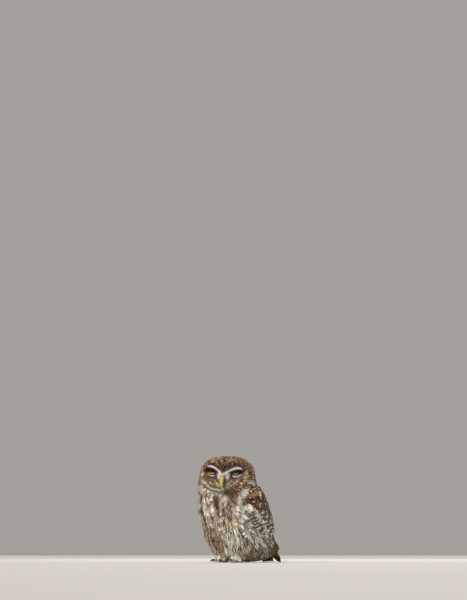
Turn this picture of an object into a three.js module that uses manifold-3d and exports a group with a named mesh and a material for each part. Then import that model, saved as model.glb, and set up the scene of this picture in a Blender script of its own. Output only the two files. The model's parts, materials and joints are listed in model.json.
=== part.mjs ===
// A little owl at rest on a flat ledge, life size, in millimetres: +Z up, the trunk facing -Y,
// the head turned to the bird's left (+X). The origin is on the floor, under the middle of its box.
import * as THREE from "three";
import { mergeVertices } from "three/addons/utils/BufferGeometryUtils.js";
import Module from "manifold-3d";

const wasm = await Module();
wasm.setup();
const { Manifold, Mesh } = wasm;

// Driving dimensions, in millimetres and degrees
const STANDING_HEIGHT = 144;
const HEAD_WIDTH = 75;
const TRUNK_WIDTH = 82;
const WING_LENGTH = 150;
const TAIL_LENGTH = 74;
const FOOT_SPACING = 25;
const HEAD_TURN = 28;
const HEAD_NOD = 6;
const HEAD_ROLL = 2;
const GAP = 0.35;

const v3 = (x, y, z) => new THREE.Vector3(x, y, z);
const rad = THREE.MathUtils.degToRad;
const lerp = THREE.MathUtils.lerp;
const smoothstep = THREE.MathUtils.smoothstep;

// A turn about Z, then a nod about the turned X axis and a roll about the turned Y axis. A positive nod
// lowers what faces -Y, and a positive roll lowers what is on the +X side.
function turned(turn, nod, roll = 0) {
  const about_z = new THREE.Matrix4().makeRotationZ(rad(turn));
  const about_x = new THREE.Matrix4().makeRotationX(rad(nod));
  const about_y = new THREE.Matrix4().makeRotationY(rad(roll));
  return about_z.multiply(about_x).multiply(about_y);
}

// A rounded lobe of plumage: a superellipsoid with its distance taken along the ray from its centre.
class Lobe {
  constructor(centre, radii, power = 2, frame = new THREE.Matrix4()) {
    this.centre = centre;
    this.radii = radii;
    this.power = power;
    this.inward = frame.clone().invert();
  }

  distance(point) {
    const q = point.clone().sub(this.centre).applyMatrix4(this.inward);
    const { radii: r, power: n } = this;
    const size = Math.abs(q.x / r.x) ** n + Math.abs(q.y / r.y) ** n + Math.abs(q.z / r.z) ** n;
    return q.length() * (1 - 1 / (size ** (1 / n) + 1e-9));
  }
}

// Distance to several forms joined with soft fillets of about the given radius.
function blended(forms, fillet) {
  return (point) => {
    const distances = forms.map((form) => form(point));
    const least = Math.min(...distances);
    const sum = distances.reduce((total, d) => total + Math.exp((least - d) / fillet), 0);
    return least - fillet * Math.log(sum);
  };
}

// The point where a ray from inside a form meets the surface at the given height over it.
const FARTHEST = 110;
const HALVINGS = 20;
function surfacePoint(form, origin, direction, height = 0) {
  let [near, far] = [0, FARTHEST];
  for (let i = 0; i < HALVINGS; i++) {
    const middle = (near + far) / 2;
    const point = origin.clone().addScaledVector(direction, middle);
    if (form(point) < height) near = middle;
    else far = middle;
  }
  return origin.clone().addScaledVector(direction, (near + far) / 2);
}

// Solids from grids of points
function solid(points, triangles) {
  const geometry = new THREE.BufferGeometry();
  const numbers = points.flatMap((p) => p.toArray());
  geometry.setAttribute("position", new THREE.Float32BufferAttribute(numbers, 3));
  geometry.setIndex(triangles.flat());
  return toManifold(geometry);
}

function toManifold(geometry) {
  const bare = geometry.clone();
  bare.deleteAttribute("normal");
  bare.deleteAttribute("uv");
  const merged = mergeVertices(bare, 1e-4);
  const made = new Manifold(
    new Mesh({
      numProp: 3,
      vertProperties: new Float32Array(merged.attributes.position.array),
      triVerts: new Uint32Array(merged.index.array),
    }),
  );
  return made.volume() < 0 ? flipped(merged) : made;
}

function flipped(merged) {
  const triVerts = new Uint32Array(merged.index.array);
  for (let i = 0; i < triVerts.length; i += 3) {
    [triVerts[i + 1], triVerts[i + 2]] = [triVerts[i + 2], triVerts[i + 1]];
  }
  const vertProperties = new Float32Array(merged.attributes.position.array);
  return new Manifold(new Mesh({ numProp: 3, vertProperties, triVerts }));
}

function toGeometry(made) {
  const mesh = made.getMesh();
  const positions = new Float32Array(mesh.numVert * 3);
  for (let i = 0; i < mesh.numVert; i++) {
    positions.set(mesh.vertProperties.subarray(i * mesh.numProp, i * mesh.numProp + 3), i * 3);
  }
  const geometry = new THREE.BufferGeometry();
  geometry.setAttribute("position", new THREE.BufferAttribute(positions, 3));
  geometry.setIndex(new THREE.BufferAttribute(new Uint32Array(mesh.triVerts), 1));
  return geometry;
}

// The largest closed body of a solid.
function largest(made) {
  return made.decompose().sort((a, b) => b.volume() - a.volume())[0];
}

const joined = (pieces) => largest(Manifold.union(pieces));

// A closed skin of rings between two poles. at(u, v) gives a point, u round the ring and v from pole
// to pole. Each square is split along one diagonal, or along the other where turned_split(u) says so.
function ringSolid(around, rings, at, turned_split = () => false) {
  const points = [at(0, 0)];
  for (let i = 1; i < rings; i++) {
    for (let j = 0; j < around; j++) points.push(at(j / around, i / rings));
  }
  points.push(at(0, 1));
  const id = (i, j) => 1 + (i - 1) * around + (j % around);
  const last = points.length - 1;
  const triangles = [];
  for (let j = 0; j < around; j++) {
    triangles.push([0, id(1, j + 1), id(1, j)], [last, id(rings - 1, j), id(rings - 1, j + 1)]);
    for (let i = 1; i < rings - 1; i++) {
      const [a, b, c, d] = [id(i, j), id(i, j + 1), id(i + 1, j + 1), id(i + 1, j)];
      if (turned_split((j + 0.5) / around)) triangles.push([a, b, d], [b, c, d]);
      else triangles.push([a, b, c], [a, c, d]);
    }
  }
  return solid(points, triangles);
}

// A thin closed slab between two grids, split alike on both faces.
// at(i, j, side) gives a point of the upper (1) or lower (0) face.
function slabSolid(rows, columns, at) {
  const points = [];
  for (const side of [0, 1]) {
    for (let i = 0; i <= rows; i++) {
      for (let j = 0; j <= columns; j++) points.push(at(i, j, side));
    }
  }
  const layer = (rows + 1) * (columns + 1);
  const id = (i, j, side) => side * layer + i * (columns + 1) + j;
  const triangles = [];
  for (let i = 0; i < rows; i++) {
    for (let j = 0; j < columns; j++) {
      for (const side of [0, 1]) {
        const [a, b] = [id(i, j, side), id(i, j + 1, side)];
        const [d, c] = [id(i + 1, j, side), id(i + 1, j + 1, side)];
        if (side) triangles.push([a, b, c], [a, c, d]);
        else triangles.push([a, c, b], [a, d, c]);
      }
    }
  }
  const wall = (a, b) => {
    const [al, bl] = [id(...a, 0), id(...b, 0)];
    const [au, bu] = [id(...a, 1), id(...b, 1)];
    triangles.push([al, bl, bu], [al, bu, au]);
  };
  for (let j = 0; j < columns; j++) {
    wall([0, j], [0, j + 1]);
    wall([rows, j + 1], [rows, j]);
  }
  for (let i = 0; i < rows; i++) {
    wall([i + 1, 0], [i, 0]);
    wall([i, columns], [i + 1, columns]);
  }
  return solid(points, triangles);
}

// A round piece swept along a line of stations { at, wide, high }, in a frame whose side and up are given.
function sweptSolid(stations, sides, side) {
  const around = (station, next, k) => {
    const along = next.at.clone().sub(station.at).normalize();
    const up = new THREE.Vector3().crossVectors(side, along).normalize();
    const angle = (2 * Math.PI * k) / sides;
    return station.at
      .clone()
      .addScaledVector(side, Math.cos(angle) * station.wide)
      .addScaledVector(up, Math.sin(angle) * station.high);
  };
  const points = [stations[0].at.clone()];
  stations.forEach((station, i) => {
    const [from, to] = i + 1 < stations.length ? [station, stations[i + 1]] : [stations[i - 1], station];
    const shifted = { ...station, at: from.at };
    for (let k = 0; k < sides; k++) {
      const offset = around(shifted, to, k).sub(from.at);
      points.push(station.at.clone().add(offset));
    }
  });
  points.push(stations.at(-1).at.clone());
  const id = (i, k) => 1 + i * sides + (k % sides);
  const [last_point, last] = [points.length - 1, stations.length - 1];
  const triangles = [];
  for (let k = 0; k < sides; k++) {
    triangles.push([0, id(0, k + 1), id(0, k)], [last_point, id(last, k), id(last, k + 1)]);
    for (let i = 0; i < last; i++) {
      const [a, b, c, d] = [id(i, k), id(i, k + 1), id(i + 1, k + 1), id(i + 1, k)];
      triangles.push([a, b, c], [a, c, d]);
    }
  }
  return solid(points, triangles);
}

// The head's own frame: x to the bird's left, -y out of the face, z up
const HEAD_CENTRE = v3(0, -4.5, STANDING_HEIGHT - 32);
const HEAD_FRAME = turned(HEAD_TURN, HEAD_NOD, HEAD_ROLL);
const HEAD_UPRIGHT = turned(HEAD_TURN, 0);
const HEAD_SIDEWAYS = v3(1, 0, 0).applyMatrix4(HEAD_FRAME);
const inHead = (x, y, z) => v3(x, y, z).applyMatrix4(HEAD_FRAME).add(HEAD_CENTRE);

// Plumage lobes of the head and the trunk
const half_head = HEAD_WIDTH / 2;
const half_trunk = TRUNK_WIDTH / 2;
const head_lobes = [
  new Lobe(HEAD_CENTRE, v3(half_head, 31, 31.5), 2.55, HEAD_FRAME),
  new Lobe(inHead(0, -3, -9), v3(half_head, 29, 20), 2.2, HEAD_UPRIGHT),
];
const trunk_lobes = [
  new Lobe(v3(0, 3, 76), v3(half_trunk, 43, 34), 2.2),
  new Lobe(v3(0, 8, 48), v3(half_trunk - 3, 41, 33), 2.1),
  new Lobe(v3(0, 28, 62), v3(half_trunk - 5, 26, 50), 2.1, turned(0, 46)),
  new Lobe(v3(0, 12, 24), v3(24, 27, 15), 2.2),
  new Lobe(v3(FOOT_SPACING / 2 + 1.5, 8, 20), v3(12, 14, 12), 2.2),
  new Lobe(v3(-FOOT_SPACING / 2 - 1.5, 8, 20), v3(12, 14, 12), 2.2),
];

// The trunk's axis runs from the neck, down through the rump, to the tip of the tail
const AXIS_START = v3(0, 2, 100);
const AXIS_END = v3(0, 98, 2);
const AXIS = AXIS_END.clone().sub(AXIS_START).normalize();
const BELLYWARD = v3(0, AXIS.z, -AXIS.y);
const AXIS_FRAME = turned(0, THREE.MathUtils.radToDeg(Math.atan2(AXIS.y, -AXIS.z)));
const onAxis = (along, belly = 0) =>
  AXIS_START.clone().addScaledVector(AXIS, along).addScaledVector(BELLYWARD, belly);
const rump_lobe = new Lobe(onAxis(66, 2), v3(25, 15, 25), 2.2, AXIS_FRAME);
const tail_lobe = new Lobe(onAxis(99), v3(20, 7, 50), 2.2, AXIS_FRAME);

// Relief of the face: bowls round the eyes, the rim of the disc, the brows and the bristles by the bill
const EYE_RADIUS = 8.2;
const EYE_SIDE = 14;
const EYE_DEPTH = 18.5;
const EYE_RISE = 11;
const DISC_RADIUS = 18;
const BROW_HALF_SPAN = 25;
const bump = (distance, width) => Math.exp(-((distance / width) ** 2));
const into_head = HEAD_FRAME.clone().invert();

function faceRelief(point) {
  const q = point.clone().sub(HEAD_CENTRE).applyMatrix4(into_head);
  if (q.y > 0) return 0;
  const x = Math.abs(q.x);
  const front = smoothstep(-q.y, 3, 15);
  const bowl = -5 * bump(Math.hypot(x - EYE_SIDE - 1, (q.z - EYE_RISE + 1) * 1.1), 10.5);
  const rim = 1.4 * bump(Math.hypot(x - EYE_SIDE + 2, q.z - EYE_RISE + 5) - DISC_RADIUS, 4);
  const brow_line = EYE_RISE - 3.5 + 12.5 * Math.sin((Math.min(x, BROW_HALF_SPAN) / BROW_HALF_SPAN) * 2);
  const brow_end = 1 - smoothstep(x, BROW_HALF_SPAN - 3, BROW_HALF_SPAN + 5);
  const brow = 3.4 * bump(q.z - brow_line, 3.8) * brow_end;
  const bristles = 3.4 * bump(Math.hypot(x * 0.85, (q.z + 1) * 0.75), 8);
  return front * (bowl + rim + brow + bristles);
}

const asForm = (lobe) => (point) => lobe.distance(point);
const smoothHead = blended(head_lobes.map(asForm), 3);
const headForm = (point) => smoothHead(point) - faceRelief(point);
const trunkForm = blended([...trunk_lobes, rump_lobe].map(asForm), 4);
const bodyForm = blended([headForm, trunkForm], 4);
const envelope = blended([smoothHead, trunkForm, asForm(tail_lobe)], 4);

// A point over the plumage: along the axis, round it from the belly (0) by the left flank (90)
// to the back (180), and out from the surface by a height.
function overBody(along, degrees, height) {
  const angle = rad(degrees);
  const outward = BELLYWARD.clone().multiplyScalar(Math.cos(angle)).add(v3(Math.sin(angle), 0, 0));
  return surfacePoint(envelope, onAxis(along), outward, height);
}

// The trunk and head as star-shaped skins round a centre
function bodyFrom(centre, around, rings, grow = 0) {
  return ringSolid(around, rings, (u, v) => {
    const [turn, lift] = [2 * Math.PI * u, Math.PI * (v - 0.5)];
    const out = v3(Math.cos(lift) * Math.cos(turn), Math.cos(lift) * Math.sin(turn), Math.sin(lift));
    return surfacePoint(bodyForm, centre, out, grow);
  });
}

// A grid for the head with its poles at the bill and the nape, finest over the face. Its squares are
// split so that the diagonals run along the brows and the rim of the disc on both sides.
function headSkin(around, rings) {
  const centre = inHead(0, 0, 3);
  const skin = (u, v) => {
    const [turn, tilt] = [2 * Math.PI * u, Math.PI * v ** 1.3];
    const out = v3(Math.sin(tilt) * Math.cos(turn), -Math.cos(tilt), Math.sin(tilt) * Math.sin(turn));
    return surfacePoint(bodyForm, centre, out.applyMatrix4(HEAD_FRAME));
  };
  return ringSolid(around, rings, skin, (u) => Math.sin(4 * Math.PI * u) > 0);
}

// Head, neck and trunk are one form, parted by two thin slanting cuts
const NECK_TILT = 0.14;
const NECK_TOP = 100;
const NECK_BOTTOM = 91;
const neck_scale = Math.hypot(NECK_TILT, 1);
const above = (made, height) => made.trimByPlane([0, -NECK_TILT, 1], height / neck_scale);
const below = (made, height) => made.trimByPlane([0, NECK_TILT, -1], -height / neck_scale);

const TRUNK_CENTRE = v3(0, 14, 58);
const trunk_whole = bodyFrom(TRUNK_CENTRE, 36, 24);
const trunk_grown = bodyFrom(TRUNK_CENTRE, 36, 24, GAP);

// Eyes, lids and bill. The lids' angles are seen from the middle of the eye: root is where a lid starts
// in the socket, margin its free edge, and droop how far that edge sinks towards the bill.
const LID_THICKNESS = 1.1;
const LID_SPAN = 84;
const UPPER_LID = { root: 86, margin: 24, droop: 10 };
const LOWER_LID = { root: -86, margin: -30, droop: 3 };
const EYE_SPLAY = 22;
const eyeCentre = (side) => inHead(side * EYE_SIDE, -EYE_DEPTH, EYE_RISE);

function ballAt(centre, radius, around = 16, rings = 10) {
  return ringSolid(around, rings, (u, v) => {
    const [turn, lift] = [2 * Math.PI * u, Math.PI * (v - 0.5)];
    const out = v3(Math.cos(lift) * Math.cos(turn), Math.cos(lift) * Math.sin(turn), Math.sin(lift));
    return centre.clone().addScaledVector(out, radius);
  });
}

// A lid is a strip of shell over the eye, from its root to its margin.
function lid(side, { root, margin, droop }) {
  const [rows, columns] = [3, 8];
  const inner = EYE_RADIUS + GAP;
  return slabSolid(rows, columns, (i, j, face) => {
    const share = (2 * j) / columns - 1;
    const across = rad(LID_SPAN * share);
    const edge = margin * Math.cos(across * 0.9) + side * droop * share;
    const lift = rad(lerp(root * Math.cos(across * 0.9), edge, i / rows));
    const gaze = across + rad(side * EYE_SPLAY);
    const out = v3(Math.sin(gaze) * Math.cos(lift), -Math.cos(gaze) * Math.cos(lift), Math.sin(lift));
    return out.multiplyScalar(inner + face * LID_THICKNESS).applyMatrix4(HEAD_FRAME).add(eyeCentre(side));
  });
}

const billStation = (y, z, wide, high) => ({ at: inHead(0, y, z), wide, high });
const grown = (stations, grow) => stations.map((s) => ({ ...s, wide: s.wide + grow, high: s.high + grow }));
const bill_upper_line = [
  billStation(-27, 6.5, 3.6, 4.2),
  billStation(-33.5, 6, 3.5, 4.1),
  billStation(-38, 3.2, 3.1, 3.5),
  billStation(-41, -1.2, 2.5, 2.7),
  billStation(-42.2, -5.4, 1.7, 1.8),
  billStation(-42, -9, 0.6, 0.7),
];
const bill_lower_line = [
  billStation(-29, -2.2, 2.8, 1.5),
  billStation(-35.5, -4, 2.5, 1.4),
  billStation(-38.6, -6, 1.8, 1.1),
  billStation(-40, -7.8, 0.7, 0.5),
];
const billUpper = (grow = 0) => sweptSolid(grown(bill_upper_line, grow), 12, HEAD_SIDEWAYS);
const billLower = (grow = 0) => sweptSolid(grown(bill_lower_line, grow), 10, HEAD_SIDEWAYS);
const NOSTRIL_RADIUS = 0.8;
const nostril = (side) => ballAt(inHead(side * 3.2, -37, 5), NOSTRIL_RADIUS, 8, 6);

// Legs, toes and claws
const FOOT_FORWARD = 3;
const ANKLE_HEIGHT = 4.5;
const footCentre = (side) => v3((side * FOOT_SPACING) / 2, FOOT_FORWARD, ANKLE_HEIGHT);

function leg(side, grow = 0) {
  const top = v3(side * (FOOT_SPACING / 2 + 1), 9, 18);
  const bottom = footCentre(side);
  const reach = 1 + grow / top.distanceTo(bottom);
  const station = (share, radius) => ({ at: top.clone().lerp(bottom, share), wide: radius, high: radius });
  const line = [station(0, 6.2), station(0.5, 5.6), station(reach, 4.4)];
  return sweptSolid(grown(line, grow), 12, v3(1, 0, 0));
}

// Each toe: its bearing from straight ahead towards the outer side, its length and its radius
const TOES = { inner: [-22, 15, 2.5], middle: [8, 18, 2.6], outer: [62, 14, 2.4], hind: [172, 10, 2.4] };
const CLAW_LENGTH = 8.5;
const CLAW_RADIUS = 1.25;
const TOE_SINK = 0.5;

function toeRay(side, bearing) {
  const angle = rad(bearing);
  return v3(side * Math.sin(angle), -Math.cos(angle), 0);
}

const acrossToe = (ray) => new THREE.Vector3().crossVectors(ray, v3(0, 0, 1)).normalize();

function toe(side, [bearing, length, radius]) {
  const ray = toeRay(side, bearing);
  const station = (share, r, lift) => ({
    at: footCentre(side).addScaledVector(ray, share * length).setZ(r - TOE_SINK + lift),
    wide: r,
    high: r,
  });
  const line = [
    station(0, radius + 0.6, 0.8),
    station(0.5, radius, 0.1),
    station(0.85, radius, 0),
    station(1, radius * 0.75, 0.4),
  ];
  return sweptSolid(line, 7, acrossToe(ray));
}

function claw(side, [bearing, length, radius], grow = 0) {
  const ray = toeRay(side, bearing);
  const root = footCentre(side).addScaledVector(ray, length - 1.8).setZ(radius + 0.6);
  const station = (out, lift, r) => {
    const at = root.clone().addScaledVector(ray, out).add(v3(0, 0, lift));
    return { at, wide: r, high: r };
  };
  const line = [
    station(-1 - grow, -0.3, CLAW_RADIUS),
    station(2.4, 0.5, CLAW_RADIUS),
    station(5, -0.1, CLAW_RADIUS * 0.75),
    station(CLAW_LENGTH - 1.5, -1.9, 0.3),
  ];
  return sweptSolid(grown(line, grow), 6, acrossToe(ray));
}

function foot(side) {
  const toes = Object.values(TOES).map((shape) => toe(side, shape));
  const pad = ballAt(footCentre(side).setZ(2.6), 4.2, 8, 6);
  let made = joined([pad, ...toes]);
  for (const shape of Object.values(TOES)) made = made.subtract(claw(side, shape, GAP));
  return largest(made.subtract(leg(side, GAP)).trimByPlane([0, 0, 1], 0));
}

// The folded wing: along runs from the wrist (0) to the tip (1), across from the lower edge (0)
// to the upper edge (1), both given as degrees round the body's axis.
const WING_START = -3;
const WING_REACH = WING_LENGTH - 22;
const WING_LOW = [[0, 60], [0.15, 51], [0.45, 54], [0.7, 72], [1, 112]];
const WING_HIGH = [[0, 84], [0.12, 118], [0.3, 140], [0.6, 158], [1, 168]];

// A smooth reading of a short list of [place, value] pairs.
function reading(pairs, place) {
  const last = pairs.length - 1;
  const passed = pairs.filter(([p]) => p <= place).length;
  const k = Math.min(last - 1, Math.max(0, passed - 1));
  const slope = (n) => (pairs[n + 1][1] - pairs[n][1]) / (pairs[n + 1][0] - pairs[n][0]);
  const here = slope(k);
  const before = k > 0 ? (slope(k - 1) + here) / 2 : here;
  const after = k + 2 <= last ? (slope(k + 1) + here) / 2 : here;
  const span = pairs[k + 1][0] - pairs[k][0];
  const t = Math.min(1, Math.max(0, (place - pairs[k][0]) / span));
  const [rise, start, end] = [t * t * (3 - 2 * t), t * (1 - t) ** 2, -t * t * (1 - t)];
  return lerp(pairs[k][1], pairs[k + 1][1], rise) + span * (before * start + after * end);
}

function overWing(along, across, height) {
  const degrees = lerp(reading(WING_LOW, along), reading(WING_HIGH, along), across);
  return overBody(WING_START + along * WING_REACH, degrees, height);
}

// The pad under the coverts holds the roots of all the long feathers. It is domed, with a rounded border.
const PAD_END = 0.48;
const PAD_ROWS = 26;
const PAD_FLOOR = 0.9;
const PAD_THICKNESS = 3;
function wingPad(end) {
  const [rows, columns] = [Math.round(PAD_ROWS * end), 7];
  return slabSolid(rows, columns, (i, j, face) => {
    const [u, w] = [(2 * i) / rows - 1, (2 * j) / columns - 1];
    const along = end * (0.5 + 0.5 * u * Math.sqrt(1 - 0.3 * w * w));
    const across = 0.5 + 0.5 * w * Math.sqrt(1 - 0.5 * u * u);
    const inside = 1 - Math.max(Math.abs(u), Math.abs(w)) ** 4;
    return overWing(along, across, PAD_FLOOR + face * lerp(0.6, PAD_THICKNESS, inside));
  });
}

// A vane lies over the wing from its root to its tip. Its lower edge is tilted up over the neighbour
// below it. Heights are those of its middle line at the root, at a third of its length and at the tip.
const VANE_OUTLINE = [[0, 0.5], [0.33, 0.95], [0.7, 1], [0.9, 0.74], [1, 0.16]];
const VANE_THICKNESS = 0.5;
const VANE_CAMBER = 0.15;
function wingVane({ root, tip, width, heights, tilt }) {
  const [low, middle, high] = heights;
  return slabSolid(VANE_OUTLINE.length - 1, 2, (i, j, face) => {
    const [share, breadth] = VANE_OUTLINE[i];
    const x = j - 1;
    const rise = share < 0.33 ? lerp(low, middle, share * 3) : lerp(middle, high, (share - 0.33) / 0.67);
    const height = rise - tilt * x * Math.min(1, share * 3) + VANE_CAMBER * (1 - x * x);
    const across = lerp(root[1], tip[1], share) + (x * breadth * width) / 2;
    return overWing(lerp(root[0], tip[0], share), across, height + face * VANE_THICKNESS);
  });
}

// A small seeded generator, so that the vanes vary as real ones do and are the same each time
function seeded(seed) {
  let state = seed;
  return () => {
    state = (state * 1664525 + 1013904223) % 4294967296;
    return state / 4294967296;
  };
}

// A tier of vanes side by side, from the lower edge of the wing up. Roots and tips are those of its
// first and last vane, and bulge carries the tips of the middle ones further out.
function tier({ count, roots, tips, bulge = 0, width, heights, tilt }, chance) {
  return Array.from({ length: count }, (_, k) => {
    const t = k / (count - 1);
    const between = ([a, b]) => [lerp(a[0], b[0], t), lerp(a[1], b[1], t)];
    const tip = between(tips);
    tip[0] += bulge * Math.sin(Math.PI * t) + 0.01 * (2 * chance() - 1);
    return wingVane({ root: between(roots), tip, width, heights, tilt });
  });
}

const WING_TIERS = [
  { count: 7, roots: [[0.34, 0.12], [0.36, 0.86]], tips: [[0.88, 0.1], [0.84, 0.9]], bulge: 0.12,
    width: 0.19, heights: [1.6, 1.9, 1.9], tilt: 0.6 },
  { count: 6, roots: [[0.26, 0.12], [0.34, 0.86]], tips: [[0.66, 0.1], [0.8, 0.88]],
    width: 0.23, heights: [2.2, 3.9, 3.9], tilt: 0.6 },
  { count: 6, roots: [[0.16, 0.14], [0.26, 0.86]], tips: [[0.44, 0.1], [0.57, 0.87]],
    width: 0.23, heights: [2.2, 4.4, 5.9], tilt: 0.6 },
  { count: 5, roots: [[0.06, 0.18], [0.15, 0.8]], tips: [[0.29, 0.12], [0.4, 0.86]],
    width: 0.27, heights: [2.2, 4.4, 6.6], tilt: 0.6 },
];

function wing() {
  const chance = seeded(7);
  return joined([wingPad(PAD_END), ...WING_TIERS.flatMap((shape) => tier(shape, chance))]);
}

// The tail: pairs of vanes in a closed fan, the middle pair on top, from a root of coverts under the rump
const TAIL_PAIRS = 6;
const TAIL_ROOT = 79;
const TAIL_VANE_WIDTH = 11;
const TAIL_STEP = 0.85;
const TAIL_TOP = 3;
const TAIL_OUTLINE = [[0, 0.6], [0.4, 0.95], [0.8, 1], [0.94, 0.75], [1, 0.2]];
function tailVane(side, pair) {
  const reach = TAIL_LENGTH - 11 - 0.8 * pair;
  return slabSolid(TAIL_OUTLINE.length - 1, 2, (i, j, face) => {
    const [share, breadth] = TAIL_OUTLINE[i];
    const x = j - 1;
    const fan = 3.8 + pair * lerp(1.4, 2.2, share);
    const across = side * fan + (x * breadth * TAIL_VANE_WIDTH) / 2;
    const droop = 0.9 * (fan / 10) ** 1.5;
    const top = pair === 0 && side > 0 ? TAIL_TOP + TAIL_STEP : TAIL_TOP;
    const lift = top - TAIL_STEP * pair - droop + VANE_CAMBER * (1 - x * x) + face * VANE_THICKNESS;
    return onAxis(TAIL_ROOT + share * reach, -lift).add(v3(across, 0, 0));
  });
}

function tail() {
  const vanes = [];
  for (let pair = 0; pair < TAIL_PAIRS; pair++) {
    vanes.push(tailVane(1, pair), tailVane(-1, pair));
  }
  const root_lobe = new Lobe(onAxis(87, 1), v3(19, 7.5, 21), 2.2, AXIS_FRAME);
  const root = ringSolid(16, 10, (u, v) => {
    const [turn, lift] = [2 * Math.PI * u, Math.PI * (v - 0.5)];
    const out = v3(Math.cos(lift) * Math.cos(turn), Math.cos(lift) * Math.sin(turn), Math.sin(lift));
    return surfacePoint(asForm(root_lobe), root_lobe.centre, out.applyMatrix4(AXIS_FRAME));
  });
  return largest(joined([root, ...vanes]).subtract(trunk_grown).trimByPlane([0, 0, 1], 0));
}

const part_list = new Map();
const put = (name, made) => part_list.set(name, made);

const wing_left = wing();
put("wing_left", wing_left);
put("wing_right", wing_left.mirror([1, 0, 0]));
put("tail", tail());

let head = largest(above(headSkin(48, 32), NECK_TOP + GAP / 2));
let trunk = below(trunk_whole, NECK_BOTTOM - GAP / 2);
for (const [word, side] of [["left", 1], ["right", -1]]) {
  put(`eye_${word}`, ballAt(eyeCentre(side), EYE_RADIUS));
  put(`lid_upper_${word}`, lid(side, UPPER_LID));
  put(`lid_lower_${word}`, lid(side, LOWER_LID));
  head = head.subtract(ballAt(eyeCentre(side), EYE_RADIUS + 2 * GAP + LID_THICKNESS, 24, 14));
  put(`leg_${word}`, leg(side));
  trunk = trunk.subtract(leg(side, GAP));
  put(`foot_${word}`, foot(side));
  for (const [toe_name, shape] of Object.entries(TOES)) put(`claw_${toe_name}_${word}`, claw(side, shape));
}
put("bill_upper", billUpper().subtract(nostril(1)).subtract(nostril(-1)));
put("bill_lower", largest(billLower().subtract(billUpper(GAP))));
put("head", largest(head.subtract(billUpper(GAP)).subtract(billLower(GAP))));
put("neck", largest(below(above(trunk_whole, NECK_BOTTOM + GAP / 2), NECK_TOP - GAP / 2)));
put("trunk", largest(trunk));

// Finishes, by the first word of a node's name: colour and roughness
const FINISHES = {
  head: [0x6f563f, 0.9], neck: [0xb3a48e, 0.9], trunk: [0xc4b8a2, 0.9], wing: [0x5b4634, 0.85],
  tail: [0x604a37, 0.85], leg: [0xd8ccb4, 0.9], foot: [0xd8ccb4, 0.9], claw: [0x1c1917, 0.35],
  bill: [0xbab764, 0.4], lid: [0x3a332d, 0.6], eye: [0xd9a520, 0.1],
};

const owl = new THREE.Group();
for (const [name, made] of part_list) {
  const [color, roughness] = FINISHES[name.split("_")[0]];
  const mesh = new THREE.Mesh(toGeometry(made), new THREE.MeshStandardMaterial({ color, roughness }));
  mesh.name = name;
  owl.add(mesh);
}
const box = new THREE.Box3().setFromObject(owl);
owl.position.set(-(box.min.x + box.max.x) / 2, -(box.min.y + box.max.y) / 2, -box.min.z);
export default owl;
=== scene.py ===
"""The looks of a life-size little owl at rest: skin, plumage, eyes, lids, bill and claws."""

import json
import logging
import math
from dataclasses import dataclass, field
from enum import Enum
from typing import Callable

import bpy
import numpy as np
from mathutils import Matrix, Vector

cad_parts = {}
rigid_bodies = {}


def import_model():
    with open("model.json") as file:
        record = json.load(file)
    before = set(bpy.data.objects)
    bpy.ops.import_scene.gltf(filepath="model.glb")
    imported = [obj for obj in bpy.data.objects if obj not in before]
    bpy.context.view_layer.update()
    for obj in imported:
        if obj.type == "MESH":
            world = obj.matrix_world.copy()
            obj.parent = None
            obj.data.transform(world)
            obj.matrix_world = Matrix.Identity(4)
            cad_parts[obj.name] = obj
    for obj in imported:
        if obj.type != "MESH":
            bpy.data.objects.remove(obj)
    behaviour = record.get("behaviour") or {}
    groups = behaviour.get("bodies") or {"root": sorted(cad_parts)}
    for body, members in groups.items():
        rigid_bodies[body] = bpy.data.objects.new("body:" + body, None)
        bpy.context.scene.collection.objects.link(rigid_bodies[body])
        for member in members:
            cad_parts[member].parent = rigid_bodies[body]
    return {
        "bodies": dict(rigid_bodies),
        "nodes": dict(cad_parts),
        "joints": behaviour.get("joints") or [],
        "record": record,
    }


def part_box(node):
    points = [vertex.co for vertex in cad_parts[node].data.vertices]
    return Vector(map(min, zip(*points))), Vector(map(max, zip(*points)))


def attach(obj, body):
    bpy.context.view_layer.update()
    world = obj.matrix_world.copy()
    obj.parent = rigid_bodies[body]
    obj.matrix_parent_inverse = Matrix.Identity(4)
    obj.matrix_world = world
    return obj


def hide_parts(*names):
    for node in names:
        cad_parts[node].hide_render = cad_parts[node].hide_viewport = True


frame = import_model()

Array = np.ndarray
Chance = np.random.Generator
Form = Callable[[Array], Array]
Material = bpy.types.Material
Pattern = float | tuple[float, float, float]
Size = tuple[float | Array, float | Array, float | Array]
LOG = logging.getLogger("little_owl")
METRES = 0.001
FULL_TURN = 2 * math.pi
GOLDEN_TURN = 2.39996
SIDES = {"left": 1, "right": -1}
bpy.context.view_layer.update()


def lerp(start: float | Array, end: float | Array, share: float | Array) -> float | Array:
    """The value a share of the way from start to end."""
    return start + (end - start) * share


def smooth(values: Array, low: float, high: float) -> Array:
    """A soft step: t squared times (3 - 2t), where t is the share of the way from low to high."""
    t = np.clip((values - low) / (high - low), 0, 1)
    return t * t * (3 - 2 * t)


def fade(values: Array, low: float, high: float) -> Array:
    """What a soft step leaves of 1: all at low, nothing at high."""
    return 1 - smooth(values, low, high)


def bump(distance: Array, width: float | Array) -> Array:
    """A bell of height 1: exp of minus the squared distance over the width."""
    return np.exp(-((distance / width) ** 2))


def unit(vectors: Array) -> Array:
    """The vectors, each divided by its own length."""
    return vectors / (np.linalg.norm(vectors, axis=-1, keepdims=True) + 1e-9)


def xyz(x: float | Array, y: float | Array, z: float | Array) -> Array:
    """Vectors from their three numbers, spread to one shape."""
    return np.stack(np.broadcast_arrays(x, y, z), -1)


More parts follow.
